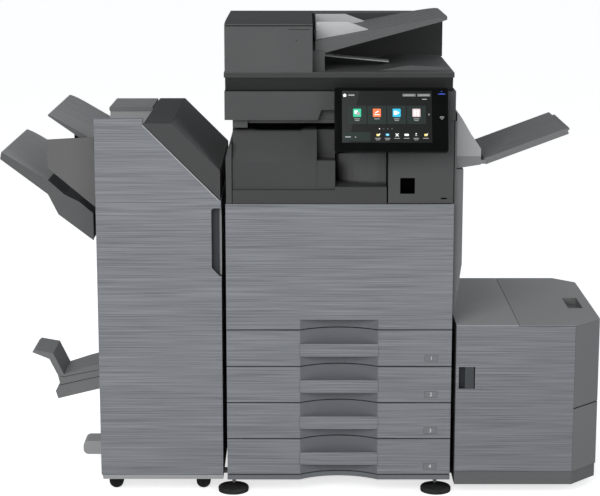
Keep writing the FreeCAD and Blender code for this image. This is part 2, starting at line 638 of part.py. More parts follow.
def feeder_base():
    """The lid that presses originals on the glass, with hinge ears and the sheet exit's end rise."""
    half = HALF_W + 1
    y0 = -2.0
    right = half - LID_INSET
    upper = box((-half, y0, LID_Z + LID_BEVEL), (right, LID_D, LID_TOP))
    z1 = LID_Z + LID_BEVEL
    lower = prism_x([(y0 + 10, LID_Z), (LID_D, LID_Z), (LID_D, z1), (y0 + 2, z1)], -half + 3, right - 3)
    rise_x0 = DOC_TRAY_X + 165
    rise = prism_y([(rise_x0, LID_TOP), (right - 3, LID_TOP), (right - 9, LID_TOP + 8),
                    (rise_x0 + 80, LID_TOP + 12), (rise_x0 + 60, LID_TOP + 10)], 60, 400)
    lid = fused(upper, lower, rise)
    for x in HINGE_X:
        y, z = LID_AXIS
        for x0 in (x - 26, x + 14.5):
            ear = box((x0, LID_D - 1, z - 6), (x0 + 11.5, y + 6, z + 6))
            lid = fused(lid, ear)
        lid = fused(lid, rod((x - 26, y, z), (1, 0, 0), 52, RAIL_R))
    recess = box((-HALF_W + 40, 20, LID_Z - 1), (HALF_W - 40, LID_D - 40, LID_Z + 8))
    pad = box((GLASS_X[0] + 8, GLASS_Y[0] + 8, LID_Z - 1.2), (GLASS_X[1] - 8, GLASS_Y[1] - 8, LID_Z + 9))
    return fused(lid.cut(recess), pad)


def feeder_slope(y):
    """Height of the feeder's sloping top at a depth."""
    t = min(max((y - 4.0) / 130.0, 0.0), 1.0)
    return FEEDER_FRONT_TOP + FEEDER_RISE * math.sin(t * math.pi / 2)


def feeder_profile(drop, y_start):
    """Outline of the feeder's top in Y and Z, lowered by a clearance."""
    steps = 6
    pairs = []
    for i in range(steps + 1):
        y = lerp(y_start, 134.0, i / steps)
        pairs.append((y, feeder_slope(y) - drop))
    return pairs


def side_socket(axis, y, x_wall):
    """An eye on the feeder casing's right wall for a pin that runs along Y."""
    x, z = axis
    eye = box((x_wall - 1, y, z - 4.5), (x + 3.5, y + 3.6, z + 4.5))
    return eye.cut(rod((x, y - 1, z), (0, 1, 0), 6, PIN_R + FIT_GAP))


def tray_post(y):
    """A post beside the document tray with an eye for one of its pins."""
    x, z = DOC_AXIS
    post = box((FEEDER_RIGHT - 1, y, FEEDER_Z), (x + 12, y + 3.6, z + 4.5))
    return post.cut(rod((x, y - 1, z), (0, 1, 0), 6, PIN_R + FIT_GAP))


def feeder_cover():
    """The casing of the sheet feed mechanism, open at its top and right."""
    y1 = FEEDER_D
    drop = FEEDER_TOP_T + TOP_GAP
    outline = [(0, FEEDER_Z)] + feeder_profile(drop, 0) + [(y1, feeder_slope(y1) - drop), (y1, FEEDER_Z)]
    outer = prism_x(outline, FEEDER_LEFT, FEEDER_RIGHT)
    high = FEEDER_FRONT_TOP + FEEDER_RISE + 1
    t = CASING_T
    inner = box((FEEDER_LEFT + t, t, FEEDER_Z + t), (FEEDER_RIGHT - t, y1 - t, high))
    mouth = box((FEEDER_RIGHT - t - 1, DOC_TRAY_Y0 + t, DOC_TRAY_Z + DOC_TRAY_LEFT_T - t),
                (FEEDER_RIGHT + 1, DOC_TRAY_Y1 - t, high))
    step = box((FEEDER_LEFT - 1, TOP_AXIS[0] + 3.9, TOP_AXIS[1] - 4), (FEEDER_RIGHT + 1, y1 + 1, high))
    shaft_hole = rod((ROLLER_AXIS[0], -1, ROLLER_AXIS[1]), (0, 1, 0), y1 + 2, PIN_R + FIT_GAP)
    pin_hole = rod((FEEDER_LEFT - 1, *TOP_AXIS), (1, 0, 0), FEEDER_W + 2, PIN_R + FIT_GAP)
    casing = outer.cut(inner).cut(mouth).cut(step).cut(shaft_hole).cut(pin_hole)
    sockets = [tray_post(DOC_TRAY_Y0 - 4), tray_post(DOC_TRAY_Y1 + 0.4),
               side_socket(STOPPER_AXIS, STOPPER_Y[0] - 4, FEEDER_RIGHT),
               side_socket(STOPPER_AXIS, STOPPER_Y[1] + 0.4, FEEDER_RIGHT)]
    return fused(casing, *sockets)


def feeder_top_cover():
    """The jam cover on top of the feeder, hinged along its rear edge."""
    y1 = FEEDER_D - 1
    top_line = feeder_profile(0, 0) + [(y1, feeder_slope(y1))]
    low_line = [(y, z - FEEDER_TOP_T) for y, z in reversed(top_line)]
    cover = prism_x(top_line + low_line, FEEDER_LEFT, FEEDER_RIGHT)
    y, z = TOP_AXIS
    wall = CASING_T + RUN_GAP
    right = FEEDER_RIGHT - wall - 4
    for x, start in ((FEEDER_LEFT + wall, FEEDER_LEFT + 1), (right, right)):
        lug = box((x, y - 2.6, z - 2.6), (x + 4, y + 2.6, feeder_slope(y) - 1))
        cover = fused(cover, lug, rod((start, y, z), (1, 0, 0), wall + 3, PIN_R))
    return cover


def feeder_housing():
    """The housing along the back of the feeder, behind the document tray."""
    y0 = FEEDER_D + 4
    y1 = y0 + FEEDER_WALL_D
    profile = [(y0, FEEDER_Z), (y1, FEEDER_Z), (y1, LID_TOP + FEEDER_WALL_H - 30),
               (y0 + FEEDER_WALL_D - 30, LID_TOP + FEEDER_WALL_H), (y0, LID_TOP + FEEDER_WALL_H)]
    left = FEEDER_LEFT
    return prism_x(profile, left, HALF_W - 2)


def feed_roller():
    """The rubber feed roller on its shaft."""
    x, z = ROLLER_AXIS
    middle = (DOC_TRAY_Y0 + DOC_TRAY_Y1) / 2
    shaft = rod((x, 0.5, z), (0, 1, 0), FEEDER_D - 1, PIN_R)
    return fused(shaft, rod((x, middle - 40, z), (0, 1, 0), 80, ROLLER_R))


def document_tray():
    """The sloping tray on which originals lie, hinged at its left end."""
    x0 = DOC_TRAY_X
    x1 = x0 + DOC_TRAY_L
    z0 = DOC_TRAY_Z
    right_z = z0 + DOC_TRAY_RISE
    profile = [(x0, z0), (x1 - 30, right_z - 8), (x1, right_z), (x1, right_z + DOC_TRAY_RIGHT_T),
               (x1 - 6, right_z + DOC_TRAY_RIGHT_T), (x0, z0 + DOC_TRAY_LEFT_T)]
    tray = prism_y(profile, DOC_TRAY_Y0, DOC_TRAY_Y1)
    rear = box((x0 - 200, DOC_TRAY_Y0 - 200, z0 - 50), (x1, DOC_TRAY_Y1, z0 + 300))
    front = box((x0 - 200, DOC_TRAY_Y0, z0 - 50), (x1, DOC_TRAY_Y1 + 200, z0 + 300))
    tray = tray.common(rounded(rear, DOC_TRAY_CORNER_R, 2)).common(rounded(front, DOC_TRAY_FRONT_R, 2))
    axis_x, axis_z = DOC_AXIS
    pin = rod((axis_x, DOC_TRAY_Y0 - 3.6, axis_z), (0, 1, 0), DOC_TRAY_Y1 - DOC_TRAY_Y0 + 7.2, PIN_R)
    return fused(tray, pin)


def document_surface(x):
    """Height of the document tray's upper face."""
    rise = DOC_TRAY_RISE + DOC_TRAY_RIGHT_T - DOC_TRAY_LEFT_T
    return DOC_TRAY_Z + DOC_TRAY_LEFT_T + rise * (x - DOC_TRAY_X) / (DOC_TRAY_L - 6)


def document_guide(index):
    """A fence that squares the originals; the two move together."""
    y = DOC_GUIDE_Y[index]
    x0 = DOC_TRAY_X + 3
    x1 = x0 + DOC_GUIDE_L
    low0 = document_surface(x0) + RUN_GAP
    low1 = document_surface(x1) + RUN_GAP
    top = DOC_TRAY_Z + DOC_TRAY_LEFT_T + DOC_GUIDE_H
    profile = [(x0, low0), (x1, low1), (x1, low1 + 2), (x1 - 50, top), (x0, top)]
    return prism_y(profile, y - 1.5, y + 1.5)


def exit_stopper():
    """The pale arm that stops delivered originals."""
    x, z = STOPPER_AXIS
    y0, y1 = STOPPER_Y
    profile = [(x - 3, z - 3), (x + 56, z - 9.5), (x + 193, z - 22), (x + 195, z - 19.5), (x + 56, z - 6),
               (x - 3, z + 3)]
    pin = rod((x, y0 - 3.5, z), (0, 1, 0), y1 - y0 + 7, PIN_R)
    return fused(prism_y(profile, y0, y1), pin)


# ---------------------------------------------------------------- control panel
PANEL_AXIS = (PANEL_TOP_Y + 18.0, SCANNER_TOP - 6.0)
PANEL_EYE_R = 3.1


def panel_plate(y0, y1, x_inset, low, high):
    """A slab parallel to the panel's face; y is measured inwards from that face."""
    x0 = PANEL_LEFT_X + x_inset
    x1 = PANEL_LEFT_X + PANEL_W - x_inset
    slab = box((x0, PANEL_TOP_Y + y0, PANEL_TOP_Z - high), (x1, PANEL_TOP_Y + y1, PANEL_TOP_Z - low))
    return slab


def tilt_panel(shape):
    return turned(shape, PANEL_TILT, (0, PANEL_TOP_Y, PANEL_TOP_Z), (-1, 0, 0))


def control_panel():
    """The tilting casing that holds the touch panel."""
    slab = rounded(panel_plate(0, PANEL_T, 0, 0, PANEL_L), 6.0, 1)
    slab = slab.cut(panel_plate(-1, GLASS_T + 0.2, 6, 6, PANEL_L - 6))
    body = tilt_panel(slab)
    y, z = PANEL_AXIS
    middle = PANEL_LEFT_X + PANEL_W / 2
    for x in (middle - 60, middle + 52):
        body = fused(body, box((x, y - 7, z - 4), (x + 8, y + 4, z + 4)))
    return fused(body, rod((middle - 60, y, z), (1, 0, 0), 120, PIN_R))


def panel_glass():
    return tilt_panel(rounded(panel_plate(0.2, GLASS_T, 6.5, 6.5, PANEL_L - 6.5), 4.0, 1))


def panel_bracket():
    """The arm from the scanner casing to the panel's tilt axis."""
    y, z = PANEL_AXIS
    middle = PANEL_LEFT_X + PANEL_W / 2
    arm = box((middle - 51, y, z - PANEL_EYE_R), (middle + 51, 0, z + PANEL_EYE_R))
    eye = rod((middle - 51, y, z), (1, 0, 0), 102, PANEL_EYE_R)
    return fused(arm, eye).cut(rod((middle - 52, y, z), (1, 0, 0), 104, PIN_R + FIT_GAP))


# ---------------------------------------------------------------- right door and bypass
DOOR_X0 = HALF_W + 1.0
DOOR_AXIS = (DOOR_X0 + 4.0, DOOR_Y[1] + 7.0)
HUB_BOTTOM = DOOR_BULGE_Z[1] + 1.0
BYPASS_AXIS = (HALF_W + 78.0, HUB_BOTTOM + 17.0)


def right_door():
    """The side door that bears the bypass unit, hinged at the back."""
    x0 = DOOR_X0
    bulge = x0 + DOOR_BULGE
    profile = [(x0, DOOR_Z[0]), (x0 + 5, DOOR_Z[0]), (bulge, DOOR_BULGE_Z[0]), (bulge, DOOR_BULGE_Z[1]),
               (x0 + 5, DOOR_BULGE_Z[1]), (x0 + 5, DOOR_Z[1]), (x0, DOOR_Z[1])]
    slab = prism_y(profile, *DOOR_Y)
    x, y = DOOR_AXIS
    knuckles = []
    for z in (DOOR_Z[0] + 60, DOOR_Z[1] - 90):
        knuckles.append(box((x - 3, DOOR_Y[1] - 1, z), (x + 4, y, z + 20)))
        knuckles.append(rod((x, y, z), (0, 0, 1), 32, PIN_R + 1))
    return fused(slab, *knuckles)


def door_posts():
    """Sockets on the right cover that hold the door's pins."""
    x, y = DOOR_AXIS
    posts = []
    for z in (DOOR_Z[0] + 60, DOOR_Z[1] - 90):
        web = box((HALF_W - 0.5, y - 4, z + 20.3), (x, y + 4, z + 32))
        eye = fused(web, rod((x, y, z + 20.3), (0, 0, 1), 11.7, PIN_R + 3.5))
        posts.append(eye.cut(rod((x, y, z), (0, 0, 1), 40, PIN_R + 1 + FIT_GAP)))
    return posts


def bypass_hub():
    """The sloping block that the bypass tray folds against."""
    x0 = DOOR_X0 + 5.2
    z0 = HUB_BOTTOM
    x1 = BYPASS_AXIS[0] - BYPASS_T / 2 - 1
    profile = [(x0, z0), (x1, z0 + 10), (x1, z0 + 51), (x1 - 26, z0 + 89), (x1 - 50, z0 + 130),
               (x0, z0 + 143)]
    hub = prism_y(profile, *HUB_Y)
    axis_x, axis_z = BYPASS_AXIS
    for y in (BYPASS_Y[0] - 4, BYPASS_Y[1] + 0.4):
        ear = box((x1 - 1, y, axis_z - 5), (axis_x + 5, y + 3.6, axis_z + 5))
        hub = fused(hub, ear.cut(rod((axis_x, y - 1, axis_z), (0, 1, 0), 6, PIN_R + FIT_GAP)))
    return hub


def bypass_frame(shape):
    """Turn a shape built along +X from the hinge to the tray's slope."""
    return turned(shape, BYPASS_ANGLE, (BYPASS_AXIS[0], 0, BYPASS_AXIS[1]), (0, -1, 0))


def bypass_tray():
    """The folding tray for single sheets, with a slot for its extension."""
    x, z = BYPASS_AXIS
    slab = box((x + 1, BYPASS_Y[0], z - BYPASS_T / 2), (x + BYPASS_L, BYPASS_Y[1], z + BYPASS_T / 2))
    slab = rounded(slab, 3.0, 1)
    slot = box((x + 40, BYPASS_Y[0] + 30, z - 4), (x + BYPASS_L + 1, BYPASS_Y[1] - 30, z + 2))
    barrel = rod((x, BYPASS_Y[0], z), (0, 1, 0), BYPASS_Y[1] - BYPASS_Y[0], BYPASS_T / 4)
    pin = rod((x, BYPASS_Y[0] - 3.6, z), (0, 1, 0), BYPASS_Y[1] - BYPASS_Y[0] + 7.2, PIN_R)
    return bypass_frame(fused(slab.cut(slot), barrel, pin))


def bypass_extension():
    """The sheet support that pulls out of the tray's end."""
    x, z = BYPASS_AXIS
    plate = box((x + 60, BYPASS_Y[0] + 30 + RUN_GAP, z - 4 + RUN_GAP),
                (x + BYPASS_L + 8, BYPASS_Y[1] - 30 - RUN_GAP, z + 2 - RUN_GAP))
    return bypass_frame(plate)


# ---------------------------------------------------------------- finisher
FIN_DECK_Z = 915.0        # top of the finisher's casing in front of its raised block
FIN_BLOCK_Y = 350.0
FIN_COVER_T = 12.0
FIN_FLOOR_Z = FIN_BASE_Z + FIN_BASE_H
SLOPE_LEFT = SLOPE_TOP[0]
FIN_DOOR_AXIS = (FIN_LEFT + 7.0, 6.0)
FIN_HINGE_Z = (FIN_FLOOR_Z + 11.3, FIN_DECK_Z - 13.7)
FIN_TOP_Z = SLOPE_TOP[1] - FIN_COVER_T + 4.5
FIN_TOP_AXIS = (FIN_D - 8.0, FIN_TOP_Z)
HINGE_EYE_R = 3.2
SEAT_GAP = 1.2            # slope cover above the door's sloping edge
WHEEL_W = 24.0
AXLE_R = 5.0


def finisher_outline(inset):
    """The finisher's casing in X and Z, below its sloping edge."""
    diagonal = inset * 1.41
    return [(FIN_LEFT + inset, FIN_FLOOR_Z), (FIN_RIGHT - inset, FIN_FLOOR_Z),
            (FIN_RIGHT - inset, SLOPE_BOTTOM[1] - 4 - diagonal), (SLOPE_LEFT, SLOPE_TOP[1] - 4 - diagonal),
            (SLOPE_LEFT, FIN_DECK_Z), (FIN_LEFT + inset, FIN_DECK_Z)]


def finisher_door():
    """The tall front door with its grip cut out of the right edge."""
    z0 = FIN_FLOOR_Z + 1
    outline = [(FIN_LEFT, z0), (FIN_RIGHT, z0), (FIN_RIGHT, SLOPE_BOTTOM[1]), SLOPE_BOTTOM, SLOPE_TOP,
               (SLOPE_LEFT, FIN_DOOR_TOP_Z), (FIN_LEFT, FIN_DOOR_TOP_Z)]
    outer = prism_y(outline, 0, FIN_DOOR_T)
    grip_outline = [(FIN_RIGHT - GRIP_W, GRIP_Z[0] + GRIP_CHAMFER), (FIN_RIGHT - 5, GRIP_Z[0]),
                    (FIN_RIGHT + 1, GRIP_Z[0]), (FIN_RIGHT + 1, GRIP_Z[1]), (FIN_RIGHT - GRIP_W + 5, GRIP_Z[1]),
                    (FIN_RIGHT - GRIP_W, GRIP_Z[1] - 5)]
    grip = prism_y(grip_outline, -1, FIN_DOOR_T + 1)
    t = COVER_T
    right = FIN_RIGHT - GRIP_W - t
    inner = [(FIN_LEFT + t, z0 + t), (right, z0 + t), (right, SLOPE_BOTTOM[1] - 4),
             (SLOPE_LEFT - t, SLOPE_TOP[1] - 4), (SLOPE_LEFT - t, FIN_DOOR_TOP_Z - t),
             (FIN_LEFT + t, FIN_DOOR_TOP_Z - t)]
    hollow = prism_y(inner, t, FIN_DOOR_T + 1)
    lip = box((FIN_RIGHT - GRIP_W - t, FIN_DOOR_T - t, GRIP_Z[0]), (FIN_RIGHT - 6, FIN_DOOR_T, GRIP_Z[1]))
    door = fused(outer.cut(grip).cut(hollow), lip)
    x, y = FIN_DOOR_AXIS
    for z in FIN_HINGE_Z:
        door = door.cut(box((FIN_LEFT - 1, t, z - 0.5), (x + 8, FIN_DOOR_T + 1, z + 9)))
        lug = box((FIN_LEFT + t - 1, t - 1, z - 10.3), (x + 4, y + 4, z - 0.3))
        door = fused(door, lug, rod((x, y, z - 10), (0, 0, 1), 17, PIN_R))
    return door


def finisher_hinges():
    """Two brackets that hold the front door's pins."""
    x, y = FIN_DOOR_AXIS
    brackets = []
    for z in FIN_HINGE_Z:
        arm = box((x - HINGE_EYE_R, y, z), (x + HINGE_EYE_R, FIN_DOOR_T + 3, z + 8))
        eye = rod((x, y, z), (0, 0, 1), 8, HINGE_EYE_R)
        brackets.append(fused(arm, eye).cut(rod((x, y, z - 1), (0, 0, 1), 10, PIN_R + FIT_GAP)))
    return brackets


def wheel_pair(x, y_list, radius):
    """Two wheels on one axle that runs from front to back."""
    z = radius
    parts = [rod((x, y_list[0] - WHEEL_W / 2, z), (0, 1, 0), y_list[1] - y_list[0] + WHEEL_W, AXLE_R)]
    for y in y_list:
        wheel = rod((x, y - WHEEL_W / 2, z), (0, 1, 0), WHEEL_W, radius)
        rims = [edge for edge in wheel.Edges if edge.Curve.TypeId == "Part::GeomCircle"]
        parts.append(wheel.makeFillet(4.0, rims))
    return fused(*parts)


def wheel_brackets(x, y_list, radius, top_z):
    """Hangers for a wheel pair's axle, on the inner side of each wheel."""
    plates = []
    for y, inward in ((y_list[0], 1), (y_list[1], -1)):
        y0 = y + inward * (WHEEL_W / 2 + 2)
        low, high = sorted((y0, y0 + inward * 4))
        plate = box((x - 12, low, radius - AXLE_R - 5), (x + 12, high, top_z))
        plates.append(plate.cut(rod((x, low - 1, radius), (0, 1, 0), 6, AXLE_R + FIT_GAP)))
    return plates


def fin_wheel_x(index):
    return (FIN_LEFT + FIN_WHEEL_INSET[0], FIN_RIGHT - FIN_WHEEL_INSET[1])[index]


def finisher_cabinet():
    """The finisher's base, walls, inner front, raised block, hinge brackets and dock rails."""
    t = COVER_T
    y0 = FIN_DOOR_T + 3
    y1 = FIN_D
    base = box((FIN_LEFT, y0, FIN_BASE_Z), (FIN_RIGHT, y1, FIN_FLOOR_Z))
    well_z = 2 * FIN_WHEEL_R + 2
    for i in (0, 1):
        for y in FIN_WHEEL_Y:
            x = fin_wheel_x(i)
            base = base.cut(box((x - FIN_WHEEL_R - 2, y - WHEEL_W / 2 - 1.5, FIN_BASE_Z - 1),
                                (x + FIN_WHEEL_R + 2, y + WHEEL_W / 2 + 1.5, well_z)))
    skirt = box((FIN_LEFT + 4, 2, FIN_BASE_Z), (FIN_RIGHT, y0, FIN_FLOOR_Z - 0.5))
    left = box((FIN_LEFT, y0, FIN_FLOOR_Z), (FIN_LEFT + t, y1, FIN_DECK_Z))
    right = box((FIN_RIGHT - t, y0, FIN_FLOOR_Z), (FIN_RIGHT, y1, SLOPE_BOTTOM[1] + SEAT_GAP))
    outline = finisher_outline(t + 0.2)
    rear = prism_y(outline, y1 - t, y1)
    inner_front = prism_y(outline, y0, y0 + t)
    deck = box((FIN_LEFT, y0, FIN_DECK_Z), (SLOPE_LEFT, FIN_BLOCK_Y, FIN_DECK_Z + 4))
    block = box((FIN_LEFT + 6, FIN_BLOCK_Y, FIN_DECK_Z), (SLOPE_LEFT - 1, y1, FIN_TOP_Z - 0.5))
    parts = [fused(base, skirt), left, right, rear, inner_front, deck, block]
    rail_start = fin_wheel_x(1) + FIN_WHEEL_R + 5
    for y in DOCK_RAIL_Y:
        hanger = box((rail_start, y - 6, DOCK_RAIL_Z + DOCK_RAIL_H), (FIN_RIGHT - 2, y + 6, FIN_BASE_Z))
        parts.append(fused(dock_rail(-1, rail_start, y), hanger))
    for i in (0, 1):
        parts += wheel_brackets(fin_wheel_x(i), FIN_WHEEL_Y, FIN_WHEEL_R, FIN_BASE_Z)
    parts += finisher_hinges()
    parts.append(rounded(box((FIN_LEFT - 73, 215, 40), (FIN_LEFT, 285, 78)), 14.0, 1))
    return group(parts)


def slope_cover():
    """The dark bevelled cover over the finisher's sloping edge."""
    x0, z0 = SLOPE_TOP
    x1, z1 = SLOPE_BOTTOM
    gap = SEAT_GAP
    top_z = z0 + 3
    shoulder_x = x0 + 74
    outer = [(x0 + gap, z0 + gap), (x0 + 4, top_z), (shoulder_x, top_z), (x1 + 2, z1 + SLOPE_COVER_LIFT),
             (x1 + 2, z1 + gap)]
    cover = prism_y(outer, 0.5, FIN_D)
    t = 2 * COVER_T
    inner = [(x0 + gap + t, z0 - t), (x0 + 4 + t, top_z - t), (shoulder_x - t / 2, top_z - t),
             (x1 + 2 - t, z1 + SLOPE_COVER_LIFT - t / 2), (x1 + 2 - t, z1 - 40), (x0, z0 - 60)]
    return cover.cut(prism_y(inner, FIN_DOOR_T + 2, FIN_D - t))


def finisher_top_cover():
    """The flat cover on the raised block, hinged at the back."""
    z0 = FIN_TOP_Z
    lid = box((FIN_LEFT + 4, FIN_BLOCK_Y - 3, z0), (SLOPE_LEFT - 1.5, FIN_TOP_AXIS[0], z0 + FIN_COVER_T - 1))
    return rounded(lid, 2.0, 1)


UPPER_TRAY_TIP = (FIN_LEFT - 120.0, 1006.0)
UPPER_TRAY_FOOT = (FIN_LEFT - RUN_GAP, 936.0)
UPPER_TRAY_T = 16.0
OFFSET_TIP = (FIN_LEFT - 248.0, 908.0)
OFFSET_RIGHT = FIN_LEFT - TRAY_GAP


def upper_tray():
    """The fixed tray that stands out of the finisher's top left edge."""
    (x0, z0), (x1, z1) = UPPER_TRAY_TIP, UPPER_TRAY_FOOT
    profile = [(x0, z0), (x0 - 2, z0 - 4), (x1, z1 - UPPER_TRAY_T - 4), (x1, z1)]
    keep = rounded(box((x0 - 3, TRAY_Y[0] - 100, 0), (x1 + 100, TRAY_Y[1], 1200)), TRAY_CORNER_R, 2)
    tray = prism_y(profile, *TRAY_Y).common(keep)
    foot = box((x1 - 14, TRAY_Y[0] + 20, FIN_DECK_Z - 40), (x1, TRAY_Y[1] - 20, z1 - UPPER_TRAY_T))
    return fused(tray, foot)


def offset_profile():
    """The offset tray's side outline, from its tip down to the finisher's wall."""
    x, z = OFFSET_TIP
    low = [(x, z - 18), (x + 121, z - 110), (x + 147, z - 163), (OFFSET_RIGHT, z - 232)]
    high = [(OFFSET_RIGHT, z - 160), (x + 202, z - 130), (x + 164, z - 111), (x + 122, z - 73), (x + 4, z)]
    return low, high


def offset_tray():
    """The delivery tray that moves down the finisher's left wall as it fills."""
    low, high = offset_profile()
    y0, y1 = TRAY_Y
    t = 2 * COVER_T
    outer = prism_y(low + high, y0, y1)
    hollow = prism_y([(x, z - t) for x, z in low + high], y0 + t, y1 - t)
    tip = OFFSET_TIP[0] - 10
    keep = rounded(box((tip + 9, y0 - 100, 0), (OFFSET_RIGHT + 100, y1, 1200)), TRAY_CORNER_R, 2)
    shell = outer.cut(hollow).common(keep)
    end = box((OFFSET_RIGHT - t, y0, OFFSET_TIP[1] - 228), (OFFSET_RIGHT, y1, OFFSET_TIP[1] - 161))
    tray = fused(shell, end)
    for y in (y0 + 110, y1 - 130):
        z = OFFSET_TIP[1]
        shoe = box((OFFSET_RIGHT - 1, y, z - 226), (FIN_LEFT - 4 - RUN_GAP, y + 20, z - 170))
        tray = fused(tray, shoe)
    return tray


def tray_rails():
    """The two rails on the finisher's left wall for the offset tray."""
    rails = []
    for y in (TRAY_Y[0] + 110, TRAY_Y[1] - 130):
        rails.append(box((FIN_LEFT - 4, y - 4, OFFSET_TIP[1] - 232 - OFFSET_TRAVEL), (FIN_LEFT, y + 24, 780)))
    return rails


def guard_plate():
    """The flat guard beside the sheets in the offset tray."""
    x1 = FIN_LEFT - 4.5
    profile = [(x1, 948), (x1 - 123, 941), (x1 - 120, 868), (x1 - 2, 768), (x1, 768)]
    plate = prism_y(profile, TRAY_Y[0] - 8, TRAY_Y[0] - 2)
    flange = box((x1, TRAY_Y[0] - 8, 790), (FIN_LEFT, TRAY_Y[0] - 2, 912))
    return fused(plate, flange)


def saddle_tray():
    """The short tray for folded booklets, low on the left wall."""
    wall = FIN_LEFT
    profile = [(wall - 203, 337), (wall - 157, 318), (wall - 135, 273), (wall - 130, 251), (wall - 142, 228),
               (wall - 135, 207), (wall, 240), (wall, 302), (wall - 30, 302), (wall - 60, 294),
               (wall - 118, 275), (wall - 146, 334), (wall - 196, 343)]
    return prism_y(profile, *SADDLE_Y)


# ---------------------------------------------------------------- paper cabinet
LCC_WALL = 3.0
LCC_FRONT_RIGHT = LCC_LEFT + LCC_FRONT_W
LCC_TOP = LCC_Z[1]
LCC_PLINTH_TOP = LCC_Z[0] + LCC_PLINTH_H
LCC_WHEEL_X = LCC_RIGHT - 52.0
LCC_WHEEL_Y = (110.0, 470.0)
LCC_DOOR_AXIS = (LCC_RIGHT - 9.0, LCC_SPLIT_Z + 6.0)
LCC_HINGE_Y = (96.0, LCC_D - LCC_REAR_BEVEL - 24.0)
LATCH_AXIS = (LCC_LEFT + LATCH_X[1] - 4.0, 6.0)
TOP_SPLIT_X = LCC_LEFT + LCC_TOP_SPLIT


def side_plan(inset, x_start):
    """The bevelled right side of the cabinet seen from above."""
    bevel = LCC_SIDE_W
    return [(x_start, 0.5 + inset), (LCC_FRONT_RIGHT, 0.5 + inset),
            (LCC_RIGHT - inset, bevel + 0.5 + inset * 0.41),
            (LCC_RIGHT - inset, LCC_D - LCC_REAR_BEVEL - inset * 0.41),
            (LCC_RIGHT - LCC_REAR_BEVEL, LCC_D - inset), (x_start, LCC_D - inset)]


def side_shell(z0, z1):
    """The walls of the bevelled side between two heights."""
    outer = prism_z(side_plan(0, LCC_FRONT_RIGHT + 0.5)[0:1] + side_plan(0, 0)[2:5] +
                    [(LCC_FRONT_RIGHT + 0.5, LCC_D)], z0, z1)
    inner = prism_z(side_plan(LCC_WALL, LCC_FRONT_RIGHT - 60), z0 - 1, z1 + 1)
    return outer.cut(inner)


def lcc_cabinet():
    """Plinth, walls, floor, lower side cover, wheel hangers and dock rails."""
    t = LCC_WALL
    z0 = LCC_Z[0]
    plinth = prism_z(side_plan(2.5, LCC_LEFT), z0, LCC_PLINTH_TOP)
    hollow = prism_z(side_plan(2.5 + t, LCC_LEFT + t), z0 - 1, LCC_PLINTH_TOP - t)
    plinth = plinth.cut(hollow)
    left = box((LCC_LEFT, 21, LCC_PLINTH_TOP), (LCC_LEFT + t, LCC_D - t, LCC_TOP - t - 0.5))
    rear = box((LCC_LEFT, LCC_D - t, LCC_PLINTH_TOP), (LCC_FRONT_RIGHT, LCC_D, LCC_TOP - t - 0.5))
    inner_front = box((LCC_LEFT + t, 21, LCC_PLINTH_TOP), (LCC_FRONT_RIGHT, 23, LCC_TOP - t - 0.5))
    lower_side = side_shell(LCC_PLINTH_TOP, LCC_SPLIT_Z - 2.4)
    parts = [plinth, left, rear, inner_front, lower_side]
    for y in LCC_HINGE_Y:
        parts.append(lcc_door_post(y))
    for y in DOCK_RAIL_Y:
        rail = dock_rail(1, LCC_RIGHT - 120, y)
        notch = box((LCC_LEFT - 1, y - DOCK_RAIL_W / 2, DOCK_RAIL_Z - 1),
                    (LCC_LEFT + t + 1, y + DOCK_RAIL_W / 2, DOCK_RAIL_Z + DOCK_RAIL_H))
        parts[0] = parts[0].cut(notch)
        z = DOCK_RAIL_Z + DOCK_RAIL_H
        hanger = box((LCC_LEFT + 40, y - 6, z), (LCC_LEFT + 240, y + 6, LCC_PLINTH_TOP - t))
        parts.append(fused(rail, hanger))
    parts += wheel_brackets(LCC_WHEEL_X, LCC_WHEEL_Y, LCC_WHEEL_R, LCC_PLINTH_TOP - t)
    return group(parts)


def lcc_door_post(y):
    """A post on the plinth that holds one of the door's pins."""
    x, z = LCC_DOOR_AXIS
    post = box((x - 26, y, LCC_PLINTH_TOP), (x - 16, y + 10, z + 4))
    arm = box((x - 26, y, z - 4), (x, y + 10, z + 4))
    eye = rod((x, y, z), (0, 1, 0), 10, 4.0)
    return fused(post, arm, eye).cut(rod((x, y - 1, z), (0, 1, 0), 12, PIN_R + FIT_GAP))


def lcc_door():
    """The opening upper side: top plate, bevelled wall, finger pocket and hinge pins."""
    t = LCC_WALL
    z0 = LCC_SPLIT_Z + 1
    wall = side_shell(z0, LCC_TOP)
    top = prism_z(side_plan(0, TOP_SPLIT_X + 1), LCC_TOP - t, LCC_TOP)
    door = fused(wall, top)
    pocket = ((LCC_RIGHT - 67, 195.0), (LCC_RIGHT - 27, 322.0))
    (px0, py0), (px1, py1) = pocket
    outer = box((px0 - t, py0 - t, LCC_TOP - 22), (px1 + t, py1 + t, LCC_TOP - t))
    hole = box((pocket[0][0], pocket[0][1], LCC_TOP - 19), (pocket[1][0], pocket[1][1], LCC_TOP + 1))
    door = fused(door, outer).cut(hole)
    x, z = LCC_DOOR_AXIS
    for y in LCC_HINGE_Y:
        lug = box((x - 3, y + 10.3, z - 3), (LCC_RIGHT - 0.5, y + 16, z + 6))
        door = fused(door, lug, rod((x, y, z), (0, 1, 0), 16, PIN_R))
    return door


def lcc_top_cover():
    """The fixed left part of the cabinet's top."""
    return box((LCC_LEFT, 0.5, LCC_TOP - LCC_WALL), (TOP_SPLIT_X - 0.5, LCC_D, LCC_TOP))


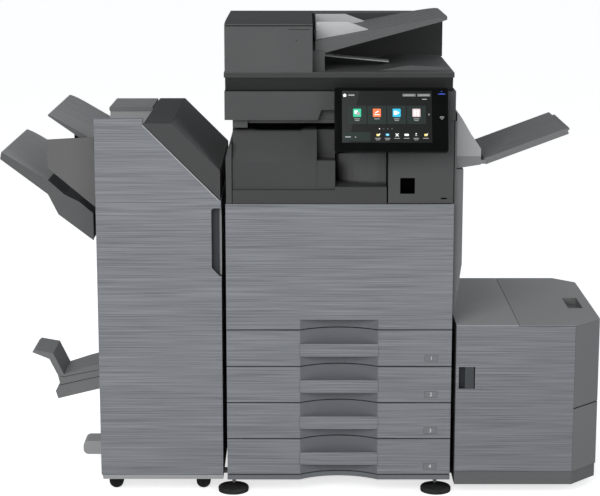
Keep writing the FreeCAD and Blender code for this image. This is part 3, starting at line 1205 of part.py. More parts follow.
def lcc_front():
    """The cabinet's front panel with its latch recess."""
    z0 = LCC_PLINTH_TOP + 0.5
    z1 = LCC_TOP - LCC_WALL - 0.5
    outer = rounded(box((LCC_LEFT, 0, z0), (LCC_FRONT_RIGHT, 20, z1)), 1.5, 0)
    t = COVER_T
    recess_low = (LCC_LEFT + LATCH_X[0], -1, LATCH_Z[0])
    recess_high = (LCC_LEFT + LATCH_X[1], 16, LATCH_Z[1])
    cavity = box((LCC_LEFT + LATCH_X[1] + 2 * t, t, z0 + t), (LCC_FRONT_RIGHT - t, 21, z1 - t))
    upper = box((LCC_LEFT + t, t, LATCH_Z[1] + 2 * t), (LCC_LEFT + LATCH_X[1] + 3 * t, 21, z1 - t))
    x, y = LATCH_AXIS
    bore = rod((x, y, LATCH_Z[0] - 4), (0, 0, 1), LATCH_Z[1] - LATCH_Z[0] + 8, PIN_R + FIT_GAP)
    return outer.cut(box(recess_low, recess_high)).cut(cavity).cut(upper).cut(bore)


def lcc_latch():
    """The release lever in the front panel."""
    x, y = LATCH_AXIS
    z0 = LATCH_Z[0] + 0.5
    z1 = LATCH_Z[1] - 0.5
    plate = box((LCC_LEFT + 24, 1.0, z0), (x + 1, 6.0, z1))
    barrel = rod((x, y, z0), (0, 0, 1), z1 - z0, 3.0)
    pin = rod((x, y, z0 - 3.5), (0, 0, 1), z1 - z0 + 7, PIN_R)
    return fused(plate, barrel, pin)


def lcc_lift_plate():
    """The plate that raises the stack of paper."""
    z = LCC_PLINTH_TOP
    return box((LCC_LEFT + 24, 40, z + RUN_GAP), (LCC_FRONT_RIGHT + 10, LCC_D - 40, z + 3))


# ---------------------------------------------------------------- the whole machine
def single_nodes():
    """Every node that is made once, by name."""
    scanner = scanner_case().Solids
    scanner[0] = fused(scanner[0], glass_seat())
    right = fused(side_cover(1), *door_posts())
    cabinet = finisher_cabinet().Solids
    cabinet += tray_rails()
    return {
        "base_frame": base_frame(), "leveling_feet": leveling_feet(), "base_skirt": base_skirt(),
        "left_cover": side_cover(-1), "right_cover": right, "rear_cover": rear_cover(),
        "power_inlet": power_inlet(), "front_cover": front_cover(), "upper_housing": upper_housing(),
        "exit_tray": exit_tray(), "relay_cover": relay_cover(), "right_column": right_column(),
        "scanner_case": group(scanner), "platen_glass": platen_glass(), "scan_carriage": scan_carriage(),
        "toner_bottles": toner_bottles(), "drum_units": drum_units(), "transfer_belt": transfer_belt(),
        "fuser": fuser(), "feeder_base": feeder_base(), "feeder_cover": feeder_cover(),
        "feeder_top_cover": feeder_top_cover(), "feeder_housing": feeder_housing(),
        "feed_roller": feed_roller(), "document_tray": document_tray(),
        "document_guide_front": document_guide(0), "document_guide_rear": document_guide(1),
        "exit_stopper": exit_stopper(), "control_panel": control_panel(), "panel_glass": panel_glass(),
        "panel_bracket": panel_bracket(), "right_door": right_door(), "bypass_hub": bypass_hub(),
        "bypass_tray": bypass_tray(), "bypass_extension": bypass_extension(),
        "finisher_cabinet": group(cabinet), "finisher_door": finisher_door(), "slope_cover": slope_cover(),
        "finisher_top_cover": finisher_top_cover(), "upper_tray": upper_tray(), "offset_tray": offset_tray(),
        "guard_plate": guard_plate(), "saddle_tray": saddle_tray(),
        "finisher_wheels_left": wheel_pair(fin_wheel_x(0), FIN_WHEEL_Y, FIN_WHEEL_R),
        "finisher_wheels_right": wheel_pair(fin_wheel_x(1), FIN_WHEEL_Y, FIN_WHEEL_R),
        "lcc_cabinet": lcc_cabinet(), "lcc_front": lcc_front(), "lcc_top_cover": lcc_top_cover(),
        "lcc_latch": lcc_latch(), "lcc_door": lcc_door(), "lcc_lift_plate": lcc_lift_plate(),
        "lcc_wheels": wheel_pair(LCC_WHEEL_X, LCC_WHEEL_Y, LCC_WHEEL_R),
    }


def all_nodes():
    nodes = single_nodes()
    for number in range(1, DRAWER_COUNT + 1):
        nodes["drawer_front_%d" % number] = drawer_front(number)
        nodes["drawer_box_%d" % number] = drawer_box(number)
    return nodes


def origin_shift(nodes):
    """The move that brings the box's bottom centre to the origin."""
    whole = FreeCAD.BoundBox()
    for shape in nodes.values():
        whole.add(shape.optimalBoundingBox(False))
    return Vector(-whole.Center.x, -whole.Center.y, -whole.ZMin)


def main():
    os.makedirs("parts", exist_ok=True)
    nodes = all_nodes()
    shift = origin_shift(nodes)
    for name, shape in nodes.items():
        moved = shape.copy()
        moved.translate(shift)
        moved.exportStep("parts/%s.step" % name)
    print("nodes", len(nodes), "shift", tuple(round(v, 4) for v in shift))


if __name__ == "__main__":
    main()
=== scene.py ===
"""Looks of a floor-standing office photocopier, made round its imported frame."""

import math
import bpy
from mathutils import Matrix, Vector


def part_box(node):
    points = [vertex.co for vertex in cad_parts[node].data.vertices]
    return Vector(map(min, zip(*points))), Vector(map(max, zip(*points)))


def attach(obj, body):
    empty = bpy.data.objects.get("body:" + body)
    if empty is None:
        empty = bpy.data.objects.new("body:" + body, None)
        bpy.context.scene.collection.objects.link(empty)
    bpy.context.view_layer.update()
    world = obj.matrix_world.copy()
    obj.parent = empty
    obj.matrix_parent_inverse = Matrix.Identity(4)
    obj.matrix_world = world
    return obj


bl_info = {
    "name": "Office photocopier pieces",
    "version": (1, 0, 0),
    "blender": (4, 5, 0),
    "location": "View3D > Sidebar > Copier",
    "description": "Finishes, screen, plates, louvres and studio for a floor-standing photocopier",
    "category": "Object",
}

import bmesh
import bpy
from bpy.props import FloatProperty, FloatVectorProperty, IntProperty, PointerProperty
from mathutils import Matrix, Vector

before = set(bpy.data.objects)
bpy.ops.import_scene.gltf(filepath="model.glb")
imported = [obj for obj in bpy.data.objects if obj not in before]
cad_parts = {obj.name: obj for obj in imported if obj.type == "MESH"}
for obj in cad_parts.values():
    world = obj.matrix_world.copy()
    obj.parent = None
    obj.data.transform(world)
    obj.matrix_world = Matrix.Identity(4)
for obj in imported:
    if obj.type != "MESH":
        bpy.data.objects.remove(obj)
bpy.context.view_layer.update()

MM = 0.001
COVER_LOW, COVER_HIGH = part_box("front_cover")
MIDDLE_X = (COVER_LOW.x + COVER_HIGH.x) / 2      # middle of the main unit
FRONT_Y = COVER_LOW.y                            # plane of the front covers
PANEL_TILT = math.radians(20.0)
GRAIN = 1400.0                                   # scale of the grain of moulded plastic
DRAWERS = (1, 2, 3, 4)                           # numbered from the top
EYE_FROM_LEFT = 0.1915                           # camera to the left edge of the front cover
LAMPS = (("key_lamp", (-1.6, -4.4, 2.7), (0.0, 0.0, 0.75), 2.6, 112),      # place, target, size, watts
         ("fill_lamp", (3.6, -2.8, 1.9), (0.0, 0.0, 0.6), 2.8, 42),
         ("top_lamp", (-2.2, 0.8, 3.9), (0.0, 0.1, 0.6), 3.0, 26))
GRIP_PAINTED_SHADE = 58                                  # painted shade: the dark grey of the grip hollows in the streaked panels
LAYERS = (0.06, 0.112, 0.17, 0.225)              # heights of the menu above the glass, mm
MENU_INSET = 3.0                                 # glass edge to panel edge, mm
SLOT_WIDTH = 0.0008                              # of the crossed slot in a screw head
EXIT_PAINTED_LIGHT_LEVEL = 832 * MM                         # level in the delivery section: the exit tray is painted darker below it, on the lip, and lighter above it, painted light on the curved wall of the well
LID_PAINTED_LIGHT_BAND = 12.5 * MM                             # height of the painted light on the lid's top: the rise on the lid, and a little of the lid's edge


# ---------------------------------------------------------------- small tools
def grey(value, warm=0):
    """A grey of the paint chart, 0 to 255, a little warmer or cooler."""
    return chart(value + warm, value, value - warm)


def chart(red, green, blue):
    """A linear colour from its 0 to 255 chart values."""
    out = []
    for channel in (red, green, blue):
        c = channel / 255
        out.append(c / 12.92 if c <= 0.04045 else ((c + 0.055) / 1.055) ** 2.4)
    return (*out, 1.0)


def at(x, y, z):
    """A point given in millimetres from the main unit's middle, front plane and floor."""
    return Vector((MIDDLE_X + x * MM, FRONT_Y + y * MM, z * MM))


def facing(x, y, z, out=-1):
    """Turns u, v, w in millimetres into right, up and out from a point; out is 1 for a face at the back."""
    return lambda u, v, w: Vector((x + u * MM, y + out * w * MM, z + v * MM))


def top_of(name, x, y):
    """Where a line straight down first meets a part, and the face's direction there."""
    _, place, normal, _ = node_part(name).ray_cast(Vector((x, y, 3.0)), Vector((0, 0, -1)))
    return place, normal


def node_part(name):
    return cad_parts[name]


def dress(material, *names):
    """Gives a finish to CAD nodes."""
    for name in names:
        part = node_part(name)
        for slot in part.material_slots:
            slot.material = material
        if not part.material_slots:
            part.data.materials.append(material)


def add_piece(name, mesh, finishes, body):
    """Puts a finished mesh into the scene and lets it ride on a body."""
    piece = bpy.data.objects.new(name, mesh)
    bpy.context.scene.collection.objects.link(piece)
    for finish in finishes:
        mesh.materials.append(finish)
    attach(piece, body)
    return piece


def mesh_from(bm, name):
    """Closes a bmesh's normals and returns it as a mesh."""
    bmesh.ops.recalc_face_normals(bm, faces=bm.faces)
    mesh = bpy.data.meshes.new(name)
    bm.to_mesh(mesh)
    bm.free()
    return mesh


def add_shape(bm, name, finishes, body):
    """Ends a bmesh as a piece of its own name."""
    return add_piece(name, mesh_from(bm, name), finishes, body)


def add_prism(bm, outline, low, high, place, index=0):
    """Adds a closed prism: its outline is given in two coordinates that place() turns into space."""
    bottom = [bm.verts.new(place(u, v, low)) for u, v in outline]
    top = [bm.verts.new(place(u, v, high)) for u, v in outline]
    faces = [bm.faces.new(bottom), bm.faces.new(list(reversed(top)))]
    count = len(outline)
    for i in range(count):
        j = (i + 1) % count
        faces.append(bm.faces.new((bottom[j], bottom[i], top[i], top[j])))
    for face in faces:
        face.material_index = index


def rectangle(u0, v0, u1, v1):
    return [(u0, v0), (u1, v0), (u1, v1), (u0, v1)]


def ray_end(u, v, radius, degrees):
    """A point at a distance and an angle from a centre."""
    a = math.radians(degrees)
    return (u + radius * math.cos(a), v + radius * math.sin(a))


def rounded_rectangle(u0, v0, u1, v1, radius, steps=5):
    """Outline of a rectangle with round corners."""
    points = []
    corners = ((u1 - radius, v1 - radius, 0), (u0 + radius, v1 - radius, 90),
               (u0 + radius, v0 + radius, 180), (u1 - radius, v0 + radius, 270))
    for u, v, start in corners:
        points += [ray_end(u, v, radius, start + 90 * i / steps) for i in range(steps + 1)]
    return points


def disc(u, v, radius, steps=20):
    return [(u + radius * math.cos(2 * math.pi * i / steps), v + radius * math.sin(2 * math.pi * i / steps))
            for i in range(steps)]


def arc_band(u, v, inner, outer, start, end, steps=10):
    """Outline of a band that runs along an arc, angles in degrees."""
    points = []
    for radius, order in ((inner, range(steps + 1)), (outer, range(steps, -1, -1))):
        points += [ray_end(u, v, radius, start + (end - start) * i / steps) for i in order]
    return points


def add_box(bm, low, high, index=0):
    """Adds a box between two corners given in millimetres."""
    add_prism(bm, rectangle(low[0], low[1], high[0], high[1]), low[2], high[2], at, index)


# ---------------------------------------------------------------- finishes
class Finish:
    """A procedural material while its nodes are put together."""

    def __init__(self, name, roughness, specular=0.5, metallic=0.0):
        self.material = bpy.data.materials.new(name)
        self.material.use_nodes = True
        self.tree = self.material.node_tree
        self.shader = self.tree.nodes["Principled BSDF"]
        self.shader.inputs["Roughness"].default_value = roughness
        self.shader.inputs["Specular IOR Level"].default_value = specular
        self.shader.inputs["Metallic"].default_value = metallic
        self.place = self.add("ShaderNodeTexCoord").outputs["Object"]

    def add(self, kind, **settings):
        node = self.tree.nodes.new(kind)
        for key, value in settings.items():
            setattr(node, key, value)
        return node

    def join(self, start, end):
        self.tree.links.new(start, end)

    def noise(self, scale, stretch=(1, 1, 1), detail=3.0, rough=0.55, shift=(0, 0, 0)):
        """Noise in object space, stretched along an axis where its number is small."""
        mapping = self.add("ShaderNodeMapping")
        mapping.inputs["Scale"].default_value = stretch
        mapping.inputs["Location"].default_value = shift
        texture = self.add("ShaderNodeTexNoise")
        texture.inputs["Scale"].default_value = scale
        texture.inputs["Detail"].default_value = detail
        texture.inputs["Roughness"].default_value = rough
        self.join(self.place, mapping.inputs["Vector"])
        self.join(mapping.outputs["Vector"], texture.inputs["Vector"])
        return texture.outputs["Fac"]

    def spread(self, value, low, high, out_low=0.0, out_high=1.0):
        """Stretches a narrow range of a value over a wide one."""
        node = self.add("ShaderNodeMapRange")
        node.inputs["From Min"].default_value = low
        node.inputs["From Max"].default_value = high
        node.inputs["To Min"].default_value = out_low
        node.inputs["To Max"].default_value = out_high
        self.join(value, node.inputs["Value"])
        return node.outputs["Result"]

    def blend(self, fac, first, second):
        """Blends two colours, or two sockets, by a number or a socket."""
        node = self.add("ShaderNodeMix", data_type="RGBA")
        for key, item in (("Factor", fac), ("A", first), ("B", second)):
            socket = node.inputs[key]
            if isinstance(item, (float, tuple)):
                socket.default_value = item
            else:
                self.join(item, socket)
        return node.outputs["Result"]

    def colour(self, socket):
        self.join(socket, self.shader.inputs["Base Color"])

    def relief(self, value, depth, strength=1.0):
        """Raises the surface by a value, depth in metres."""
        node = self.add("ShaderNodeBump")
        node.inputs["Distance"].default_value = depth
        node.inputs["Strength"].default_value = strength
        self.join(value, node.inputs["Height"])
        self.join(node.outputs["Normal"], self.shader.inputs["Normal"])

    def vary_roughness(self, value, low, high):
        self.join(self.spread(value, 0.0, 1.0, low, high), self.shader.inputs["Roughness"])

    def above(self, axis, limit):
        """1 where an object coordinate is above a limit."""
        split = self.add("ShaderNodeSeparateXYZ")
        self.join(self.place, split.inputs["Vector"])
        node = self.add("ShaderNodeMath", operation="GREATER_THAN")
        node.inputs[1].default_value = limit
        self.join(split.outputs[axis], node.inputs[0])
        return node.outputs["Value"]

    def both(self, first, second, operation="MULTIPLY"):
        node = self.add("ShaderNodeMath", operation=operation)
        self.join(first, node.inputs[0])
        self.join(second, node.inputs[1])
        return node.outputs["Value"]


def moulded(name, shade, roughness=0.5, spread=7, warm=0, specular=0.22):
    """Moulded plastic with a fine even grain and slight cloudiness."""
    finish = Finish(name, roughness, specular)
    cloud = finish.spread(finish.noise(5.0, detail=2.0), 0.35, 0.65)
    speck = finish.spread(finish.noise(GRAIN, detail=2.0), 0.35, 0.65)
    dark, light = grey(shade - spread / 2, warm), grey(shade + spread / 2, warm)
    finish.colour(finish.blend(0.5, finish.blend(cloud, dark, light), finish.blend(speck, dark, light)))
    finish.relief(speck, 0.00012)
    return finish.material


def brushed(name, shade, spread, hollow_grey_and_painted_shade, low_x, high_x, inner_y):
    """The panel finish: long level streaks, and one smooth grey where a hollow sets back between two sides:
    the hollow's own grey on the main covers, painted shade in the grip hollows of the finisher door and
    cabinet front.
    """
    finish = Finish(name, 0.5, 0.3)
    long_streak = finish.noise(1.0, (3.2, 3.2, 560.0), 2.0, 0.6)
    fine_streak = finish.noise(1.0, (9.0, 9.0, 1300.0), 2.0, 0.5, (3.1, 0, 1.7))
    broad = finish.noise(1.0, (1.6, 1.6, 150.0), 2.0, 0.5, (0.4, 0, 7.3))
    mix = finish.spread(long_streak, 0.34, 0.66, 0.0, 0.6)
    mix = finish.both(mix, finish.spread(fine_streak, 0.32, 0.68, 0.0, 0.3), "ADD")
    mix = finish.both(mix, finish.spread(broad, 0.32, 0.68, 0.0, 0.1), "ADD")
    dark = chart(shade - spread, shade - spread + 2, shade - spread + 7)
    light = chart(shade + spread, shade + spread + 2, shade + spread + 6)
    panel = finish.blend(mix, dark, light)
    inside = finish.both(finish.above("X", low_x), finish.above("X", high_x), "SUBTRACT")
    mask = finish.both(finish.above("Y", inner_y), inside)
    finish.colour(finish.blend(mask, panel, chart(hollow_grey_and_painted_shade, hollow_grey_and_painted_shade + 2, hollow_grey_and_painted_shade + 7)))
    finish.relief(long_streak, 0.00012, 0.5)
    return finish.material


def levels(name, shade, *steps, front=None, roughness=0.5, specular=0.2):
    """Moulded plastic with a new shade above each (axis, level, shade), and its own on front faces; most uses
    are lit and shaded copies of one plastic, painted light and painted shade.
    """
    finish = Finish(name, roughness, specular)
    speck = finish.spread(finish.noise(GRAIN, detail=2.0), 0.35, 0.65)
    tone = finish.blend(speck, grey(shade - 3), grey(shade + 3))
    for axis, level, step_shade in steps:
        over = finish.blend(speck, grey(step_shade - 3), grey(step_shade + 3))
        tone = finish.blend(finish.above(axis, level), tone, over)
    if front:
        front_y, front_shade = front
        face = finish.blend(speck, grey(front_shade - 3), grey(front_shade + 3))
        tone = finish.blend(finish.above("Y", front_y), face, tone)
    finish.colour(tone)
    finish.relief(speck, 0.0001)
    return finish.material


def steel(name, shade, roughness=0.35):
    """Rolled zinc-coated sheet with faint rolling lines."""
    finish = Finish(name, roughness, 0.5, 0.85)
    lines = finish.spread(finish.noise(1.0, (40.0, 900.0, 40.0), 3.0), 0.3, 0.7)
    flake = finish.spread(finish.noise(120.0, detail=1.0), 0.4, 0.6)
    finish.colour(finish.blend(flake, grey(shade - 8), grey(shade + 8)))
    finish.vary_roughness(lines, roughness - 0.06, roughness + 0.08)
    finish.relief(lines, 0.00002)
    return finish.material


def gloss(name, colour, roughness=0.08, smear=0.05):
    """Polished black moulding with faint finger smears."""
    finish = Finish(name, roughness, 0.14)
    smears = finish.spread(finish.noise(22.0, (1, 1, 0.4), 4.0), 0.4, 0.7)
    lift = tuple(min(1.0, c * 1.35 + 0.0006) for c in colour[:3]) + (1.0,)
    finish.colour(finish.blend(smears, colour, lift))
    finish.vary_roughness(smears, roughness, roughness + smear)
    return finish.material


def rubber(name, shade, metal_level=5.0):
    """Matt rubber with a dusty bloom, bare metal above a height."""
    finish = Finish(name, 0.85, 0.2)
    bloom = finish.spread(finish.noise(60.0, detail=5.0), 0.35, 0.7)
    skin = finish.blend(bloom, grey(shade), grey(shade + 14))
    finish.colour(finish.blend(finish.above("Z", metal_level), skin, grey(176)))
    finish.relief(bloom, 0.0002)
    return finish.material


def clear_glass(name, shade):
    """Plate glass seen over the dark inside of the scanner."""
    finish = Finish(name, 0.03, 0.6)
    haze = finish.spread(finish.noise(9.0, detail=3.0), 0.4, 0.7)
    dull, pale = chart(shade, shade + 4, shade + 4), chart(shade + 8, shade + 13, shade + 13)
    finish.colour(finish.blend(haze, dull, pale))
    finish.vary_roughness(haze, 0.02, 0.07)
    return finish.material


def lit(name, colour, strength):
    """A lit element of the screen, slightly uneven from cell to cell."""
    finish = Finish(name, 0.3, 0.3)
    cells = finish.spread(finish.noise(260.0, detail=1.0), 0.3, 0.7)
    dim = tuple(c * 0.88 for c in colour[:3]) + (1.0,)
    shown = finish.blend(cells, dim, colour)
    finish.colour(shown)
    finish.join(shown, finish.shader.inputs["Emission Color"])
    finish.shader.inputs["Emission Strength"].default_value = strength
    return finish.material


def transfer_film(name):
    """The black transfer belt, finely scored along its run."""
    finish = Finish(name, 0.3, 0.5)
    lines = finish.spread(finish.noise(1.0, (20.0, 700.0, 700.0), 2.0), 0.3, 0.7)
    finish.colour(finish.blend(lines, grey(18), grey(34)))
    finish.relief(lines, 0.00003)
    return finish.material


# ---------------------------------------------------------------- properties
def shade_of(name, description, default, top=255):
    return IntProperty(name=name, description=description, default=default, min=0, max=top)


def length_of(name, description, default):
    return FloatProperty(name=name, description=description, default=default, subtype="DISTANCE",
                         unit="LENGTH")


class CopierFinishes(bpy.types.PropertyGroup):
    panel_shade: shade_of("Panel shade", "Mean grey of the streaked front panels, 0 to 255", 126)
    panel_spread: shade_of("Streak contrast", "Lightest and darkest streak from the mean grey", 30, 120)
    hollow_shade: shade_of("Hollow shade", "Grey of the smooth hollow and skirt, 0 to 255", 112)
    charcoal_shade: shade_of("Charcoal shade", "Grey of the scanner and delivery covers", 84)
    tray_shade: shade_of("Tray shade", "Grey of the delivery trays", 128)


class CopierScreen(bpy.types.PropertyGroup):
    tile_size: length_of("Tile width", "Width of one menu tile", 0.045)
    tile_pitch: length_of("Tile pitch", "From one menu tile to the next", 0.0497)
    brightness: FloatProperty(name="Brightness", description="Light given by the icons", default=0.75,
                              min=0.0)


class CopierDetails(bpy.types.PropertyGroup):
    louvre_count: IntProperty(name="Louvres", description="Slats in one group on the rear cover", default=14,
                              min=1)
    louvre_pitch: length_of("Louvre pitch", "From one slat to the next", 0.009)
    screw_radius: length_of("Screw radius", "Radius of a cover screw's head", 0.004)
    rib_thickness: length_of("Tray rib", "Thickness of the ribs on the sheet trays", 0.0026)
    foot_ribs: IntProperty(name="Foot ribs", description="Grip ribs round one levelling disc", default=36,
                           min=3)


class CopierStudio(bpy.types.PropertyGroup):
    lens: FloatProperty(name="Lens", description="Focal length of the camera in millimetres", default=108.0,
                        min=1.0)
    pitch: FloatProperty(name="Camera pitch", description="How far the camera looks down",
                         default=math.radians(11.402), subtype="ANGLE", unit="ROTATION")
    eye_height: length_of("Eye height", "Height of the camera above the floor", 1.581924)
    distance: length_of("Distance", "Camera to the plane of the front covers", 4.55008)
    floor_colour: FloatVectorProperty(name="Floor", description="Colour of the floor", subtype="COLOR",
                                      default=(0.82, 0.82, 0.82), min=0.0, max=1.0)


# ---------------------------------------------------------------- repeated details
class Repeater:
    """A Geometry Nodes tree that makes one kind of repeated detail."""

    def __init__(self, name, inputs):
        self.tree = bpy.data.node_groups.new(name, "GeometryNodeTree")
        face = self.tree.interface
        face.new_socket(name="Seed mesh", in_out="INPUT", socket_type="NodeSocketGeometry")
        self.keys = {}
        for label, kind, default in inputs:
            socket = face.new_socket(name=label, in_out="INPUT", socket_type=kind)
            if default is not None:
                socket.default_value = default
            self.keys[label] = socket.identifier
        for label in ("Material", "Second material"):
            socket = face.new_socket(name=label, in_out="INPUT", socket_type="NodeSocketMaterial")
            self.keys[label] = socket.identifier
        face.new_socket(name="Detail", in_out="OUTPUT", socket_type="NodeSocketGeometry")
        self.source = self.tree.nodes.new("NodeGroupInput")
        self.sink = self.tree.nodes.new("NodeGroupOutput")

    def add(self, kind, **settings):
        node = self.tree.nodes.new(kind)
        for key, value in settings.items():
            setattr(node, key, value)
        return node

    def join(self, start, end):
        self.tree.links.new(start, end)

    def given(self, label):
        return self.source.outputs[label]

    def feed(self, node, **inputs):
        """Joins sockets, or the tree's own inputs by their names, to a node's inputs."""
        for key, item in inputs.items():
            self.join(self.given(item) if isinstance(item, str) else item, node.inputs[key.replace("_", " ")])

    def spread(self, points, instance, **inputs):
        """Sets an instance on every point."""
        node = self.add("GeometryNodeInstanceOnPoints")
        self.feed(node, Points=points, Instance=instance, **inputs)
        return node.outputs["Instances"]

    def times(self, label, factor):
        """One of the tree's inputs times a number."""
        node = self.add("ShaderNodeMath", operation="MULTIPLY")
        node.inputs[1].default_value = factor
        self.join(self.given(label), node.inputs[0])
        return node.outputs["Value"]

    def vector(self, x=None, y=None, z=None):
        """A vector put together from inputs."""
        node = self.add("ShaderNodeCombineXYZ")
        for socket, item in zip(node.inputs, (x, y, z)):
            if isinstance(item, (int, float)):
                socket.default_value = item
            elif item is not None:
                self.join(item, socket)
        return node.outputs["Vector"]

    def painted(self, geometry, label="Material"):
        node = self.add("GeometryNodeSetMaterial")
        self.join(geometry, node.inputs["Geometry"])
        self.join(self.given(label), node.inputs["Material"])
        return node.outputs["Geometry"]

    def joined(self, *parts):
        node = self.add("GeometryNodeJoinGeometry")
        for part in parts:
            self.join(part, node.inputs["Geometry"])
        return node.outputs["Geometry"]

    def close(self, instances, two_tone=False):
        """Ends the tree with real geometry and its finish."""
        real = self.add("GeometryNodeRealizeInstances")
        self.join(instances, real.inputs["Geometry"])
        end = real.outputs["Geometry"]
        if not two_tone:
            end = self.painted(end)
        self.join(end, self.sink.inputs["Detail"])
        return self

    def make(self, name, finishes, points=None, **values):
        """Runs the tree once and returns its plain mesh."""
        seed = bpy.data.meshes.new(name + "_seed")
        seed.from_pydata([tuple(p) for p in points] if points else [(0, 0, 0)], [], [])
        holder = bpy.data.objects.new(name + "_seed", seed)
        bpy.context.scene.collection.objects.link(holder)
        modifier = holder.modifiers.new("detail", "NODES")
        modifier.node_group = self.tree
        modifier[self.keys["Material"]] = finishes[0]
        modifier[self.keys["Second material"]] = finishes[-1]
        for label, value in values.items():
            modifier[self.keys[label.replace("_", " ")]] = value
        bpy.context.view_layer.update()
        seen = holder.evaluated_get(bpy.context.evaluated_depsgraph_get())
        mesh = bpy.data.meshes.new_from_object(seen)
        bpy.data.objects.remove(holder)
        mesh.name = name
        return mesh


def louvre_repeater():
    """Slats in a row, each tipped outwards."""
    r = Repeater("louvre row", [("Count", "NodeSocketInt", 10), ("Pitch", "NodeSocketFloat", 0.009),
                                ("Length", "NodeSocketFloat", 0.1), ("Width", "NodeSocketFloat", 0.006),
                                ("Thickness", "NodeSocketFloat", 0.0012), ("Tip", "NodeSocketFloat", 0.7)])
    line = r.add("GeometryNodeMeshLine")
    r.feed(line, Count="Count", Offset=r.vector(0, 0, r.given("Pitch")))
    slat = r.add("GeometryNodeMeshCube")
    r.feed(slat, Size=r.vector(r.given("Length"), r.given("Width"), r.given("Thickness")))
    tip = r.vector(r.given("Tip"), 0, 0)
    return r.close(r.spread(line.outputs["Mesh"], slat.outputs["Mesh"], Rotation=tip))


def screw_repeater():
    """A domed screw head with a crossed slot at every point of the seed mesh."""
    r = Repeater("cover screws", [("Radius", "NodeSocketFloat", 0.004), ("Height", "NodeSocketFloat", 0.0016),
                                  ("Turn", "NodeSocketVector", (0, 0, 0))])
    head = r.add("GeometryNodeMeshCone")
    head.inputs["Vertices"].default_value = 18
    r.feed(head, Radius_Bottom="Radius", Radius_Top=r.times("Radius", 0.72), Depth="Height")
    bars = []
    for long_axis in (0, 1):
        bar = r.add("GeometryNodeMeshCube")
        sizes = [SLOT_WIDTH, SLOT_WIDTH, r.given("Height")]
        sizes[long_axis] = r.given("Radius")
        r.feed(bar, Size=r.vector(*sizes))
        lift = r.add("GeometryNodeTransform")
        r.feed(lift, Translation=r.vector(0, 0, r.times("Height", 0.55)), Geometry=bar.outputs["Mesh"])
        bars.append(r.painted(lift.outputs["Geometry"], "Second material"))
    whole = r.joined(r.painted(head.outputs["Mesh"]), *bars)
    return r.close(r.spread("Seed mesh", whole, Rotation="Turn"), two_tone=True)


def ring_repeater():
    """Ribs that stand round a circle."""
    r = Repeater("ring of ribs", [("Count", "NodeSocketInt", 36), ("Radius", "NodeSocketFloat", 0.04),
                                  ("Size", "NodeSocketVector", (0.002, 0.002, 0.006))])
    circle = r.add("GeometryNodeMeshCircle")
    r.feed(circle, Vertices="Count", Radius="Radius")
    rib = r.add("GeometryNodeMeshCube")
    r.feed(rib, Size="Size")
    turn = r.add("FunctionNodeAlignRotationToVector", axis="X")
    r.feed(turn, Vector=r.add("GeometryNodeInputPosition").outputs["Position"])
    ring = r.spread(circle.outputs["Mesh"], rib.outputs["Mesh"], Rotation=turn.outputs["Rotation"])
    return r.close(r.spread("Seed mesh", ring))


def rib_repeater():
    """Long round ribs side by side, each from one point to another."""
    r = Repeater("tray ribs", [("Count", "NodeSocketInt", 3), ("Pitch", "NodeSocketFloat", 0.05),
                               ("Start", "NodeSocketVector", (0, 0, 0)),
                               ("End", "NodeSocketVector", (0.1, 0, 0)),
                               ("Thickness", "NodeSocketFloat", 0.003)])
    run = r.add("GeometryNodeCurvePrimitiveLine")
    r.feed(run, Start="Start", End="End")
    section = r.add("GeometryNodeCurvePrimitiveCircle")
    section.inputs["Resolution"].default_value = 10
    r.feed(section, Radius=r.times("Thickness", 0.5))
    rib = r.add("GeometryNodeCurveToMesh")
    rib.inputs["Fill Caps"].default_value = True
    r.feed(rib, Curve=run.outputs["Curve"], Profile_Curve=section.outputs["Curve"])
    line = r.add("GeometryNodeMeshLine")
    r.feed(line, Count="Count", Offset=r.vector(0, r.given("Pitch"), 0))
    return r.close(r.spread(line.outputs["Mesh"], rib.outputs["Mesh"]))


